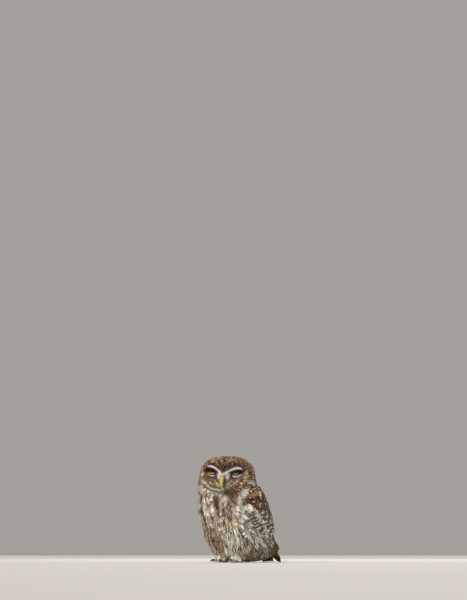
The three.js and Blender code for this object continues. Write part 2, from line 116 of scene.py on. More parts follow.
def aimed(turn: float | Array, lift: float | Array) -> Array:
    """Directions by radians of turn and lift: (sin turn cos lift, -cos turn cos lift, sin lift)."""
    return xyz(np.sin(turn) * np.cos(lift), -np.cos(turn) * np.cos(lift), np.sin(lift))


def turned(turn: float, nod: float, roll: float = 0) -> Array:
    """A turn about Z, then a nod about the turned X axis and a roll about the turned Y axis.

    Args:
        turn: degrees, positive to the bird's left.
        nod: degrees, positive where what faces -Y goes down.
        roll: degrees, positive where what is on +X goes down.

    Returns:
        The product of the three rotation matrices, whose columns are the turned axes.
    """
    (a, b, c) = np.radians((turn, nod, roll))
    about_z = np.array([[math.cos(a), -math.sin(a), 0], [math.sin(a), math.cos(a), 0], [0, 0, 1]])
    about_x = np.array([[1, 0, 0], [0, math.cos(b), -math.sin(b)], [0, math.sin(b), math.cos(b)]])
    about_y = np.array([[math.cos(c), 0, math.sin(c)], [0, 1, 0], [-math.sin(c), 0, math.cos(c)]])
    return about_z @ about_x @ about_y


def reading(pairs: Array, place: Array) -> Array:
    """A smooth reading of a short list of places and values.

    Between two places the value follows a cubic whose slopes are the means of the neighbouring
    chords' slopes.

    Args:
        pairs: one row for each place, with the place first and then its value or values.
        place: where to read.

    Returns:
        The values, with a last axis for each where there are several.
    """
    (pairs, place) = (np.asarray(pairs, float), np.asarray(place, float))
    (x, y) = (pairs[:, 0], pairs[:, 1:])
    chords = np.diff(y, axis=0) / np.diff(x)[:, None]
    slopes = np.concatenate([chords[:1], (chords[1:] + chords[:-1]) / 2, chords[-1:]])
    k = np.clip(np.searchsorted(x, place, side="right") - 1, 0, len(x) - 2)
    span = (x[k + 1] - x[k])[..., None]
    t = np.clip((place[..., None] - x[k][..., None]) / span, 0, 1)
    ends = span * (slopes[k] * t * (1 - t) ** 2 - slopes[k + 1] * t * t * (1 - t))
    value = lerp(y[k], y[k + 1], t * t * (3 - 2 * t)) + ends
    return value[..., 0] if y.shape[1] == 1 else value


def blended(distances: list[Array], fillet: float) -> Array:
    """Distances joined with soft fillets: minus the fillet times log of the sum of exp(-d / fillet)."""
    least = np.min(distances, 0)
    return least - fillet * np.log(np.exp((least - np.stack(distances)) / fillet).sum(0))


def cloud(points: Array, size: float, seed: int) -> Array:
    """A soft random field, mostly from -1 to 1: a sum of eight sine waves in seeded directions.

    Args:
        points: where to read it.
        size: about how long a wave is.
        seed: for the waves' directions and phases.

    Returns:
        The values.
    """
    chance = np.random.default_rng(seed)
    waves = unit(chance.standard_normal((8, 3))) * (FULL_TURN / size) * chance.uniform(0.7, 1.4, (8, 1))
    return np.sin(points @ waves.T + chance.uniform(0, FULL_TURN, 8)).sum(-1) / 2.8


@dataclass(frozen=True)
class Lobe:
    """A rounded lobe of plumage: a superellipsoid."""

    centre: Array
    radii: tuple[float, float, float]
    power: float = 2.0
    frame: Array | tuple = ((1, 0, 0), (0, 1, 0), (0, 0, 1))

    def distance(self, points: Array) -> Array:
        """Distance along the ray from the centre: |q| times (1 - 1 / size).

        Here q is the point seen in the lobe's own frame, and size the sum of |q / radii| to the
        power, rooted by the power.

        Args:
            points: places in millimetres.

        Returns:
            The distances, less than 0 inside.
        """
        q = (points - self.centre) @ self.frame
        size = (np.abs(q / np.array(self.radii)) ** self.power).sum(-1) ** (1 / self.power)
        return np.linalg.norm(q, axis=-1) * (1 - 1 / (size + 1e-9))


@dataclass(frozen=True)
class Limb:
    """A leg or toe: a straight line with a radius that changes evenly along it."""

    start: Array
    end: Array
    radii: tuple[float, float]

    def distance(self, points: Array) -> Array:
        """Distance to the nearest point of the line, less the radius there.

        Args:
            points: places in millimetres.

        Returns:
            The distances, less than 0 inside.
        """
        line = self.end - self.start
        share = np.clip(((points - self.start) @ line) / (line @ line), 0, 1)
        nearest = self.start + share[..., None] * line
        return np.linalg.norm(points - nearest, axis=-1) - lerp(*self.radii, share)


@dataclass
class OwlForm:
    """The outer form of the plumage, in millimetres: +Z up, the trunk facing -Y, feet on the floor."""

    standing_height: float = 144.0
    head_width: float = 75.0
    trunk_width: float = 82.0
    wing_length: float = 150.0
    wing_hidden: float = 22.0
    tail_length: float = 74.0
    foot_spacing: float = 25.0
    head_turn: float = 28.0
    head_nod: float = 6.0
    head_roll: float = 2.0
    eye_radius: float = 8.2
    eye_side: float = 14.0
    eye_depth: float = 18.5
    eye_rise: float = 11.0
    gap: float = 0.35
    lid_splay: float = 22.0
    lid_span: float = 84.0
    eye_opening: tuple[float, float, float, float] = (-10.5, 9.0, 14.0, 46.0)

    def __post_init__(self) -> None:
        """Works out the frames and lobes from the driving dimensions."""
        self.wing_reach = self.wing_length - self.wing_hidden
        self.head_centre = np.array([0, -4.5, self.standing_height - 32])
        self.head_frame = turned(self.head_turn, self.head_nod, self.head_roll)
        (half_head, half_trunk, leg_side) = (self.head_width / 2, self.trunk_width / 2, self.foot_spacing / 2)
        self.head_lobes = [
            Lobe(self.head_centre, (half_head, 31, 31.5), 2.55, self.head_frame),
            Lobe(self.in_head(0, -3, -9), (half_head, 29, 20), 2.2, turned(self.head_turn, 0)),
        ]
        self.axis_start = np.array([0, 2.0, 100])
        self.axis = unit(np.array([0, 98.0, 2]) - self.axis_start)
        self.bellyward = np.array([0, self.axis[2], -self.axis[1]])
        axis_frame = turned(0, math.degrees(math.atan2(self.axis[1], -self.axis[2])))
        self.trunk_lobes = [
            Lobe(np.array([0, 3, 76]), (half_trunk, 43, 34), 2.2),
            Lobe(np.array([0, 8, 48]), (half_trunk - 3, 41, 33), 2.1),
            Lobe(np.array([0, 28, 62]), (half_trunk - 5, 26, 50), 2.1, turned(0, 46)),
            Lobe(np.array([0, 12, 24]), (24, 27, 15), 2.2),
            Lobe(np.array([leg_side + 1.5, 8, 20]), (12, 14, 12), 2.2),
            Lobe(np.array([-leg_side - 1.5, 8, 20]), (12, 14, 12), 2.2),
            Lobe(self.on_axis(66, 2), (25, 15, 25), 2.2, axis_frame),
        ]
        self.tail_lobe = Lobe(self.on_axis(99), (20, 7, 50), 2.2, axis_frame)
        eye_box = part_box("eye_left")
        self.shift = np.array((eye_box[0] + eye_box[1]) / 2) / METRES - self.eye_centre(1)

    def to_row(self, points: Array) -> Array:
        """The points in metres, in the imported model's frame."""
        return (points + self.shift) * METRES

    def in_head(self, x: float | Array, y: float | Array, z: float | Array) -> Array:
        """A point given in the head's frame: x to the bird's left, -y out of the face, z up."""
        return xyz(x, y, z) @ self.head_frame.T + self.head_centre

    def head_local(self, points: Array) -> Array:
        """The points as seen in the head's frame."""
        return (points - self.head_centre) @ self.head_frame

    def seen(self, points: Array) -> tuple[Array, Array, Array, Array]:
        """The points in the head's frame: to the bird's left, that without its sign, back, and up."""
        (left, y, z) = np.moveaxis(self.head_local(points), -1, 0)
        return left, np.abs(left), y, z

    def eye_centre(self, side: int) -> Array:
        """The middle of an eyeball: side is 1 for the bird's left and -1 for its right."""
        return self.in_head(side * self.eye_side, -self.eye_depth, self.eye_rise)

    def on_axis(self, along: float | Array, belly: float | Array = 0) -> Array:
        """A point of the axis from neck to tail tip, moved towards the belly."""
        (along, belly) = (np.asarray(value, float)[..., None] for value in (along, belly))
        return self.axis_start + self.axis * along + self.bellyward * belly

    def brow_line(self, left: Array) -> Array:
        """Height of the brow: a sine that rises from the bill's root, less on the bird's left."""
        lift = np.where(left > 0, 9.9, 11.6)
        return self.eye_rise - 3.5 + lift * np.sin(np.minimum(np.abs(left), 25) / 25 * 2)

    def throat_line(self, left: Array) -> Array:
        """Height of the pale line under the disc: it climbs the bird's left cheek, over the shoulder."""
        return np.where(left > 0, -11.7 + 0.5 * left + 0.005 * left**2, -11.9 + 0.008 * left**2)

    def face_relief(self, points: Array) -> Array:
        """Bowls round the eyes, the rim of the disc, the brows and the bristles by the bill, as bells.

        Args:
            points: places in millimetres.

        Returns:
            How far these stand over the smooth head.
        """
        (left, x, y, z) = self.seen(points)
        bowl = -5 * bump(np.hypot(x - self.eye_side - 1, (z - self.eye_rise + 1) * 1.1), 10.5)
        rim = 1.4 * bump(np.hypot(x - self.eye_side + 2, z - self.eye_rise + 5) - 18, 4)
        brow = 3.4 * bump(z - self.brow_line(left), 3.8) * fade(x, 22, 30)
        bristles = 3.4 * bump(np.hypot(x * 0.85, (z + 1) * 0.75), 8)
        return smooth(-y, 3, 15) * (bowl + rim + brow + bristles)

    def smooth_head(self, points: Array) -> Array:
        """Distance to the head without its relief."""
        return blended([lobe.distance(points) for lobe in self.head_lobes], 3)

    def head(self, points: Array) -> Array:
        """Distance to the head with its relief."""
        return self.smooth_head(points) - self.face_relief(points)

    def trunk(self, points: Array) -> Array:
        """Distance to the trunk and rump."""
        return blended([lobe.distance(points) for lobe in self.trunk_lobes], 4)

    def envelope(self, points: Array) -> Array:
        """Distance to the smooth form that the wings lie on."""
        return blended([self.smooth_head(points), self.trunk(points), self.tail_lobe.distance(points)], 4)

    def plump(self, points: Array) -> Array:
        """Distance to the whole plumage: head with relief, trunk, tail root and folded wings."""
        whole = blended([self.head(points), self.trunk(points), self.tail_lobe.distance(points)], 4)
        return whole - self.wing_swell(points)

    def lid_place(self, points: Array) -> tuple[Array, Array, Array]:
        """Where points lie round the nearer eye.

        Args:
            points: places in millimetres.

        Returns:
            Their distance from its middle, and two angles in degrees about the lids' middle line:
            across, which grows outwards, and up.
        """
        (_, x, y, z) = self.seen(points)
        (x, y, z) = (x - self.eye_side, y + self.eye_depth, z - self.eye_rise)
        distance = np.sqrt(x * x + y * y + z * z)
        across = np.degrees(np.arctan2(x, -y)) - self.lid_splay
        return distance, across, np.degrees(np.arcsin(np.clip(z / (distance + 1e-9), -1, 1)))

    def lid_edges(self, across: Array) -> tuple[Array, Array]:
        """How high the upper and the lower lid's margins are.

        The opening is an almond about a middle line that rises outwards: its half-height is the
        greatest times the cosine of the share of the way to its corner, to the power 0.8.

        Args:
            across: an angle across the eye in degrees, held within the lids' span.

        Returns:
            Both heights, as angles in degrees.
        """
        (middle, rise, half, corner) = self.eye_opening
        across = np.clip(across, -self.lid_span, self.lid_span)
        line = middle + rise * across / self.lid_span
        gap = half * np.cos(np.clip(across / corner, -1, 1) * math.pi / 2).clip(0) ** 0.8 + 0.3
        return line + gap, line - gap

    def lid_ball(self, points: Array) -> Array:
        """Distance to the balls of the feathered lids, which thin out towards their margins.

        Args:
            points: places in millimetres.

        Returns:
            The distances, less than 0 inside.
        """
        (distance, outward, up) = self.lid_place(points)
        (upper, lower) = self.lid_edges(outward)
        thick = lerp(0.75, 1.45, smooth(np.maximum(up - upper, lower - up), 0, 12))
        return distance - self.eye_radius - thick

    def lidded(self, points: Array) -> Array:
        """Distance to the plumage and to the feathered balls of the lids together."""
        return blended([self.plump(points), self.lid_ball(points)], 0.5)

    def body_place(self, points: Array) -> tuple[Array, Array]:
        """How far points are along the axis, and their bearing round it: 0 the belly, 180 the back."""
        seen = points - self.axis_start
        return seen @ self.axis, np.degrees(np.arctan2(np.abs(seen[..., 0]), seen @ self.bellyward))

    def wing_place(self, points: Array) -> tuple[Array, Array]:
        """Where points lie on the folded wing.

        Args:
            points: places in millimetres.

        Returns:
            How far along it they are, from the wrist (0) to the tip (1), and how far across, from
            the lower edge (0) to the upper edge (1).
        """
        (along, degrees) = self.body_place(points)
        length = (along - WING_START) / self.wing_reach
        (low, high) = (reading(WING_LOW, length), reading(WING_HIGH, length))
        return length, (degrees - low) / (high - low)

    def wing_swell(self, points: Array) -> Array:
        """How far the folded wing's coverts stand over the body, fading out over its edges.

        Args:
            points: places in millimetres.

        Returns:
            The heights.
        """
        (along, across) = self.wing_place(points)
        length = smooth(along, -0.1, 0.12) * fade(along, 0.5, 0.95)
        return 5.0 * length * smooth(across, -0.12, 0.2) * fade(across, 0.8, 1.12)


WING_START = -3.0
WING_LOW = ((0, 60), (0.15, 51), (0.45, 54), (0.7, 72), (1, 112))
WING_HIGH = ((0, 84), (0.12, 118), (0.3, 140), (0.6, 158), (1, 168))
RAY_LENGTH = 110.0
HALVINGS = 17


def met(form: Form, origins: Array, directions: Array, height: float | Array = 0.0) -> Array:
    """Where rays from inside a form meet the surface at a height over it, by halving the stretch.

    Args:
        form: the distance to the form.
        origins: where the rays start.
        directions: their unit directions.
        height: the distance that the form has there.

    Returns:
        The points.
    """
    shape = np.broadcast_shapes(origins.shape, directions.shape)[:-1]
    (near, far) = (np.zeros(shape), np.full(shape, RAY_LENGTH))
    for _ in range(HALVINGS):
        middle = (near + far) / 2
        inside = form(origins + directions * middle[..., None]) < height
        (near, far) = (np.where(inside, middle, near), np.where(inside, far, middle))
    return origins + directions * ((near + far) / 2)[..., None]


def slope(form: Form, points: Array, step: float = 0.3) -> Array:
    """The form's slope, by steps along each axis."""
    here = form(points)
    return np.stack([form(points + step * axis) - here for axis in np.eye(3)], -1) / step


def settled(form: Form, points: Array, height: Array) -> Array:
    """Points moved along the form's slope until its distance there is the height, by two Newton steps.

    Args:
        form: the distance to the form.
        points: where they start.
        height: the distance that each has to get.

    Returns:
        The moved points.
    """
    gradient = slope(form, points)
    square = np.maximum((gradient**2).sum(-1), 0.2)
    for _ in range(2):
        points = points - ((form(points) - height) / square)[..., None] * gradient
    return points


class Tint(Enum):
    """The owl's colours, as red, green and blue on the usual screen scale of 0 to 255."""

    CROWN = (77, 56, 41)
    CROWN_DARK = (58, 42, 32)
    STREAK_BUFF = (204, 179, 142)
    MANTLE = (104, 79, 57)
    WING = (100, 75, 53)
    WING_DARK = (72, 55, 43)
    WHITE = (246, 242, 232)
    PALE_GREY = (212, 204, 192)
    COOL_WHITE = (226, 226, 224)
    CREAM = (228, 209, 170)
    BELLY = (200, 170, 126)
    BUFF = (186, 158, 122)
    BREAST_BROWN = (98, 73, 50)
    GREY_BROWN = (122, 102, 80)
    DISC = (118, 98, 77)
    # Near-black: the own colour of the bristles and bare lid margins, and also painted shade round the eyes,
    # over the iris's top, on the upper lids and in the nostrils.
    SOOT = (34, 27, 23)
    RUST = (128, 84, 54)
    LILAC = (228, 218, 218)
    BILL = (198, 180, 108)
    BILL_BASE = (146, 138, 92)
    CLAW = (34, 29, 26)
    AMBER = (240, 166, 8)
    # The yellow iris painted darker and greener for one eye: painted shade.
    CITRON = (150, 158, 32)

    def linear(self) -> Array:
        """The colour in linear light: the screen value to the power 2.2."""
        return (np.array(self.value) / 255) ** 2.2

    def rgba(self, light: float = 1.0) -> tuple:
        """The colour for a socket, made lighter or darker."""
        return (*(self.linear() * light), 1.0)


def operator(operation: str, swapped: bool = False) -> Callable[..., "Signal"]:
    """A method of Signal that adds a Math node.

    Args:
        operation: the node's operation.
        swapped: whether the other value goes first.

    Returns:
        The method.
    """

    def apply(signal: "Signal", *others: "Signal | float") -> "Signal":
        """The operation on a signal and the values that it is given."""
        values = (*others, signal) if swapped else (signal, *others)
        return signal.finish.node("ShaderNodeMath", {"operation": operation}, dict(enumerate(values)))

    return apply


class Signal:
    """A node's output with arithmetic: each operator adds a Math node."""

    __add__ = __radd__ = operator("ADD")
    __mul__ = __rmul__ = operator("MULTIPLY")
    __sub__ = operator("SUBTRACT")
    __rsub__ = operator("SUBTRACT", swapped=True)
    __rtruediv__ = operator("DIVIDE", swapped=True)
    __pow__ = operator("POWER")
    __abs__ = operator("ABSOLUTE")
    maximum = operator("MAXIMUM")
    sine = operator("SINE")

    def __init__(self, finish: "Finish", socket: bpy.types.NodeSocket | None) -> None:
        """Wraps a socket of a finish's node tree."""
        (self.finish, self.socket) = (finish, socket)

    def hypot(self, other: "Signal") -> "Signal":
        """The root of the sum of the squares of this and another."""
        return (self * self + other * other) ** 0.5

    def wave(self) -> "Signal":
        """The sine of this, moved to run from 0 to 1."""
        return self.sine() * 0.5 + 0.5

    def step(self, low: "Signal | float", high: "Signal | float") -> "Signal":
        """A soft step from 0 to 1 as this goes from low to high."""
        sockets = {"Value": self, "From Min": low, "From Max": high}
        return self.finish.node("ShaderNodeMapRange", {"interpolation_type": "SMOOTHSTEP"}, sockets)


class Finish:
    """A material being made: one method adds any node, and surface() ends it."""

    def __init__(self, name: str) -> None:
        """Starts an empty node tree.

        Args:
            name: the material's name.
        """
        self.material = bpy.data.materials.new(name)
        self.material.use_nodes = True
        self.tree = self.material.node_tree
        self.tree.nodes.clear()

    def node(self, kind: str, settings: dict | None = None, sockets: dict | None = None,
             out: int = 0) -> Signal:
        """Adds a node.

        Args:
            kind: the node's type.
            settings: its own settings, which are set first.
            sockets: values or signals for its inputs, by name or number.
            out: which of its shown outputs to give back.

        Returns:
            That output.
        """
        made = self.tree.nodes.new(kind)
        for (name, value) in (settings or {}).items():
            setattr(made, name, value)
        shown = [socket for socket in made.inputs if socket.enabled]
        for (name, value) in (sockets or {}).items():
            socket = shown[name] if isinstance(name, int) else next(s for s in shown if s.name == name)
            if isinstance(value, Signal):
                self.tree.links.new(value.socket, socket)
            else:
                socket.default_value = value
        outputs = [socket for socket in made.outputs if socket.enabled]
        return Signal(self, outputs[out] if outputs else None)

    def attribute(self, name: str, out: int = 0) -> Signal:
        """A mesh attribute: output 0 is its colour, 1 its vector and 2 its single value."""
        return self.node("ShaderNodeAttribute", {"attribute_name": name}, out=out)

    def parts(self, vector: Signal) -> list[Signal]:
        """The three numbers of a vector."""
        split = self.node("ShaderNodeSeparateXYZ", {}, {0: vector})
        return [Signal(self, split.socket.node.outputs[axis]) for axis in range(3)]

    def mix(self, share: Signal | float, first: Signal | tuple, second: Signal | tuple,
            kind: str = "MIX") -> Signal:
        """Two colours mixed, or joined in another way, by a share of the second."""
        settings = {"data_type": "RGBA", "blend_type": kind}
        return self.node("ShaderNodeMix", settings, {"Factor": share, "A": first, "B": second})

    def shaded(self, colour: Signal, shade: Signal) -> Signal:
        """A colour times a shade of grey."""
        grey = self.node("ShaderNodeCombineXYZ", {}, {0: shade, 1: shade, 2: shade})
        return self.mix(1.0, colour, grey, "MULTIPLY")

    def noise(self, scale: float, detail: float = 3.0) -> Signal:
        """A cloud from 0 to 1 on the piece's own coordinates."""
        place = self.node("ShaderNodeTexCoord", out=3)
        return self.node("ShaderNodeTexNoise", {}, {"Vector": place, "Scale": scale, "Detail": detail})

    def surface(self, colour: Signal, roughness: Signal | float, height: Signal | None = None,
                relief: float = 0.0002, **fixed: float) -> Material:
        """Ends the finish with a shader.

        Args:
            colour: the base colour.
            roughness: the roughness.
            height: the relief from 0 to 1, if any.
            relief: how high that is, in metres.
            fixed: values for other sockets, by name with _ for a space.

        Returns:
            The finished material.
        """
        sockets = {"Base Color": colour, "Roughness": roughness}
        sockets.update({name.replace("_", " "): value for (name, value) in fixed.items()})
        if height is not None:
            sockets["Normal"] = self.node("ShaderNodeBump", {}, {"Distance": relief, "Height": height})
        shader = self.node("ShaderNodeBsdfPrincipled", {}, sockets)
        self.node("ShaderNodeOutputMaterial", {}, {"Surface": shader})
        return self.material


@dataclass(frozen=True)
class PlumageFinish:
    """Feathers: the ground colour with streaks, spots or bars of the mark's colour, and fine barbs."""

    name: str = "plumage"
    roughness: float = 0.75
    barb_pitch: float = 0.55
    barb_depth: float = 0.2
    bar_slant: float = 0.6

    def build(self) -> Material:
        """Makes the material from the feathers' attributes ground, mark, pattern and span.

        Returns:
            The material.
        """
        finish = Finish(self.name)
        (across, share, _) = finish.parts(finish.node("ShaderNodeUVMap", {"uv_map": "vane"}))
        (streak, spot, bars) = finish.parts(finish.attribute("pattern", out=1))
        (side, along, lot) = finish.parts(finish.attribute("span", out=1))
        (side, off) = (abs(side), abs(across * 2 - 1))
        ragged = finish.noise(1100) - 0.5
        x = off + ragged * 0.3
        s = share + ragged * 0.08
        width = streak * s.step(0.1, 0.6) * (1 - s.step(0.86, 1.0) * 0.55)
        streaked = (1 - x.step(width - 0.09, width + 0.09)) * (streak * 8).step(0, 1)
        half = side * (1 / off.maximum(0.02))
        long = along * (1 / share.maximum(0.02))
        distance = ((x - 0.46) * half).hypot((s - 0.8) * long * 0.62)
        spotted = (1 - (distance - spot).step(-0.35, 0.25)) * (spot * 8).step(0, 1)
        slant = side * (1 / long.maximum(0.1)) * self.bar_slant
        banded = ((s + slant) * bars * FULL_TURN + lot * 5).wave().step(0.5, 0.85) * x.step(0.02, 0.22)
        marked = streaked.maximum(spotted).maximum(banded * (bars * 8).step(0, 1))
        colour = finish.mix(marked, finish.attribute("ground"), finish.attribute("mark"))
        barbs = ((along - side * 1.3) * (FULL_TURN / self.barb_pitch)).wave()
        clumps = finish.noise(420, 2.0)
        # Painted shade: the share step darkens each feather from its tip towards its root. This is partly the
        # greyer down there and mostly the shade of the feathers lying over it. Barbs, clumps and lot are the
        # feathers' own uneven tone.
        shade = barbs * 0.07 + clumps * 0.32 + lot * 0.2 + share.step(0.15, 0.85) * 0.45 + 0.36
        shaft = 1 - side.step(0.08, 0.2)
        shade = shade * (1 - shaft * 0.18) + x.step(0.75, 1.1) * 0.08
        height = barbs * self.barb_depth + clumps * 0.4 + shaft * 0.4
        return finish.surface(finish.shaded(colour, shade), self.roughness, height, 0.0002,
                              Specular_IOR_Level=0.2, Sheen_Weight=0.08, Sheen_Roughness=0.5)


@dataclass(frozen=True)
class SkinFinish:
    """The skin under the coat, in the same markings, with fine pores."""

    name: str = "skin"

    def build(self) -> Material:
        """Makes the material from the skin's ground attribute.

        Returns:
            The material.
        """
        finish = Finish(self.name)
        pores = finish.noise(1600)
        colour = finish.shaded(finish.attribute("ground"), pores * 0.5 + 0.35)
        return finish.surface(colour, 0.85, pores, 0.0003, Specular_IOR_Level=0.2)


@dataclass(frozen=True)
class EyeFinish:
    """A wet eye: a black pupil, a fibrous iris that darkens to its rim, dark beyond it, and a painted shadow
    of the upper lid over the iris's top.
    """

    name: str
    iris: Tint
    pupil: float = 0.37
    rim: float = 0.65

    def build(self) -> Material:
        """Makes the material from the eye's gaze attribute, the angle from the line of sight as a vector.

        Returns:
            The material.
        """
        finish = Finish(self.name)
        (x, y, _) = finish.parts(finish.attribute("gaze", out=1))
        angle = x.hypot(y)
        fibres = finish.noise(2600, 4.0)
        deep = finish.mix(fibres.step(0.3, 0.7), self.iris.rgba(0.75), self.iris.rgba(1.15))
        rim_and_lid_shadow = (angle + fibres * 0.05).step(self.rim - 0.16, self.rim)
        # Painted shadow: the iris's upper part is darkened as if under the upper lid.
        rim_and_lid_shadow = rim_and_lid_shadow.maximum((y + fibres * 0.08).step(-0.36, -0.02) * 0.93)
        iris = finish.mix(rim_and_lid_shadow, deep, Tint.SOOT.rgba(0.25))
        seen = angle.step(self.pupil - 0.015, self.pupil + 0.015)
        colour = finish.mix(seen, (0.002, 0.002, 0.002, 1), iris)
        return finish.surface(colour, 0.05, fibres, 0.00001, Specular_IOR_Level=0.28)


@dataclass(frozen=True)
class HornFinish:
    """Horn: the bill or the claws, with growth lines, darker at the root or the tip, and painted shade in the
    nostrils.
    """

    name: str
    main: Tint
    other: Tint
    roughness: float = 0.32

    def build(self) -> Material:
        """Makes the material from the piece's share attribute: its first number is 0 at the root and 1 at the
        tip, and its second marks the nostrils, which get painted shade.

        Returns:
            The material.
        """
        finish = Finish(self.name)
        (share, nostril_pit_and_shade, _) = finish.parts(finish.attribute("share", out=1))
        grain = finish.noise(500)
        lines = (share * 130 + grain * 14).wave()
        root = 1 - (share + grain * 0.15).step(0.1, 0.5)
        colour = finish.mix(root, self.main.rgba(), self.other.rgba())
        colour = finish.shaded(colour, grain * 0.3 + lines * 0.03 + 0.8)
        # Painted shade: the nostrils are darkened towards near-black.
        colour = finish.mix(nostril_pit_and_shade, colour, Tint.SOOT.rgba(0.5))
        return finish.surface(colour, grain * 0.2 + self.roughness, lines, 0.00001, Coat_Weight=0.15)


@dataclass(frozen=True)
class LidFinish:
    """A lid: bare dark skin at its margin, pale or dark small feathers beyond it; the upper lid's near-black
    feathers also carry painted shade from the brow.
    """

    name: str
    outer: Tint
    margin: float = 0.86
    start: float = 0.0

    def build(self) -> Material:
        """Makes the material from the lid's share attribute.

        Its first number is 0 at the lid's root and 1 at its margin, and its second is 1 where the
        eye is open and 0 at its corners.

        Returns:
            The material.
        """
        finish = Finish(self.name)
        (share, openness, _) = finish.parts(finish.attribute("share", out=1))
        grain = finish.noise(1800)
        edge = share + (grain - 0.5) * 0.06
        bare = edge.step(self.margin - 0.03, self.margin + 0.03) * openness.step(0.02, 0.3)
        feathered = edge.step(self.start - 0.05, self.start + 0.05)
        colour = finish.mix(feathered, Tint.SOOT.rgba(), self.outer.rgba())
        colour = finish.shaded(finish.mix(bare, colour, Tint.SOOT.rgba(0.35)), grain * 0.6 + 0.6)
        return finish.surface(colour, 0.5 - bare * 0.15, grain, 0.0001, Specular_IOR_Level=0.4)


COLOURS = ("ground", "mark")
SHARP = math.radians(70)
NO_TRIANGLES = np.zeros((0, 3), int)


@dataclass
class Shape:
    """A closed surface: points in millimetres, faces of four or three, and values at each point."""

    points: Array
    quads: Array
    triangles: Array
    values: dict[str, Array]
    maps: dict[str, Array] = field(default_factory=dict)

    @staticmethod
    def joined(shapes: list["Shape"]) -> "Shape":
        """Several surfaces as one.

        Args:
            shapes: the surfaces.

        Returns:
            The one surface, with the values and maps that the first one has.
        """
        starts = np.cumsum([0] + [len(shape.points) for shape in shapes[:-1]])
        faces = {kind: np.concatenate([getattr(s, kind) + start for (s, start) in zip(shapes, starts)])
                 for kind in ("quads", "triangles")}
        rest = {kind: {name: np.concatenate([getattr(s, kind)[name] for s in shapes])
                       for name in getattr(shapes[0], kind)} for kind in ("values", "maps")}
        return Shape(np.concatenate([shape.points for shape in shapes]), **faces, **rest)

    def mesh(self, name: str, form: OwlForm) -> bpy.types.Mesh:
        """The surface as a mesh in metres, with its values as attributes and its maps as UV maps.

        Args:
            name: the mesh's name.
            form: the form that places it.

        Returns:
            The mesh.
        """
        made = bpy.data.meshes.new(name)
        loops = np.concatenate([self.quads.ravel(), self.triangles.ravel()])
        sizes = np.repeat((4, 3), (len(self.quads), len(self.triangles)))
        made.vertices.add(len(self.points))
        made.vertices.foreach_set("co", form.to_row(self.points).astype(np.float32).ravel())
        made.loops.add(len(loops))
        made.loops.foreach_set("vertex_index", loops.astype(np.int32))
        made.polygons.add(len(sizes))
        made.polygons.foreach_set("loop_start", (np.cumsum(sizes) - sizes).astype(np.int32))
        made.polygons.foreach_set("use_smooth", np.ones(len(sizes), bool))
        for (key, value) in self.values.items():
            keep_values(made, key, value)
        for (key, value) in self.maps.items():
            made.uv_layers.new(name=key).data.foreach_set("uv", value[loops].astype(np.float32).ravel())
        made.update(calc_edges=True)
        return made


def keep_values(mesh: bpy.types.Mesh, name: str, values: Array) -> None:
    """Keeps values at a mesh's points, as a colour or as a vector.

    Args:
        mesh: the mesh.
        name: the attribute's name.
        values: three for each point.
    """
    (kind, slot, width) = ("FLOAT_COLOR", "color", 4) if name in COLOURS else ("FLOAT_VECTOR", "vector", 3)
    full = np.ones((len(values), width), np.float32)
    full[:, :3] = values
    mesh.attributes.new(name, kind, "POINT").data.foreach_set(slot, full.ravel())


def linked(name: str, data: bpy.types.ID) -> bpy.types.Object:
    """A new object of the scene.

    Args:
        name: its name.
        data: its mesh, camera or lamp.

    Returns:
        The object.
    """
    made = bpy.data.objects.new(name, data)
    bpy.context.scene.collection.objects.link(made)
    return made


def placed(mesh: bpy.types.Mesh, material: Material, slot: str, *replaced: str, sharp: bool = True) -> None:
    """Puts a mesh into the scene as a finished piece that rides on the model.

    Args:
        mesh: the mesh, which has the piece's name.
        material: its finish.
        slot: not used.
        replaced: the model's nodes that the piece stands for.
        sharp: whether folds sharper than a right angle or so keep their edge.
    """
    piece = linked(mesh.name, mesh)
    if sharp:
        mesh.set_sharp_from_angle(angle=SHARP)
    mesh.materials.append(material)
    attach(piece, "root")
    if replaced:
        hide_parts(*replaced)
    LOG.info("%s: %d faces", mesh.name, len(mesh.polygons))


def squares(ids: Array) -> Array:
    """The squares between the rows and columns of a grid of points' numbers."""
    return np.stack([ids[:-1, :-1], ids[:-1, 1:], ids[1:, 1:], ids[1:, :-1]], -1).reshape(-1, 4)


def ring_shape(rings: Array, start: Array, end: Array, **values: Array) -> Shape:
    """A closed surface through rings of points, with a pole at each end.

    Args:
        rings: rings by points round each by 3.
        start: the pole before the first ring.
        end: the pole after the last ring.
        values: a value for each pole and ring point, in the order start, rings, end.

    Returns:
        The surface. Its faces point outwards where each ring turns left-handed about the way on.
    """
    (count, around) = rings.shape[:2]
    points = np.concatenate([start[None], rings.reshape(-1, 3), end[None]])
    ids = 1 + np.arange(count * around).reshape(count, around)
    after = np.roll(ids, -1, axis=1)
    quads = np.stack([ids[:-1], after[:-1], after[1:], ids[1:]], -1).reshape(-1, 4)
    first = np.stack([np.zeros(around, int), after[0], ids[0]], -1)
    last = np.stack([np.full(around, len(points) - 1), ids[-1], after[-1]], -1)
    return Shape(points, quads, np.concatenate([first, last]), dict(values))


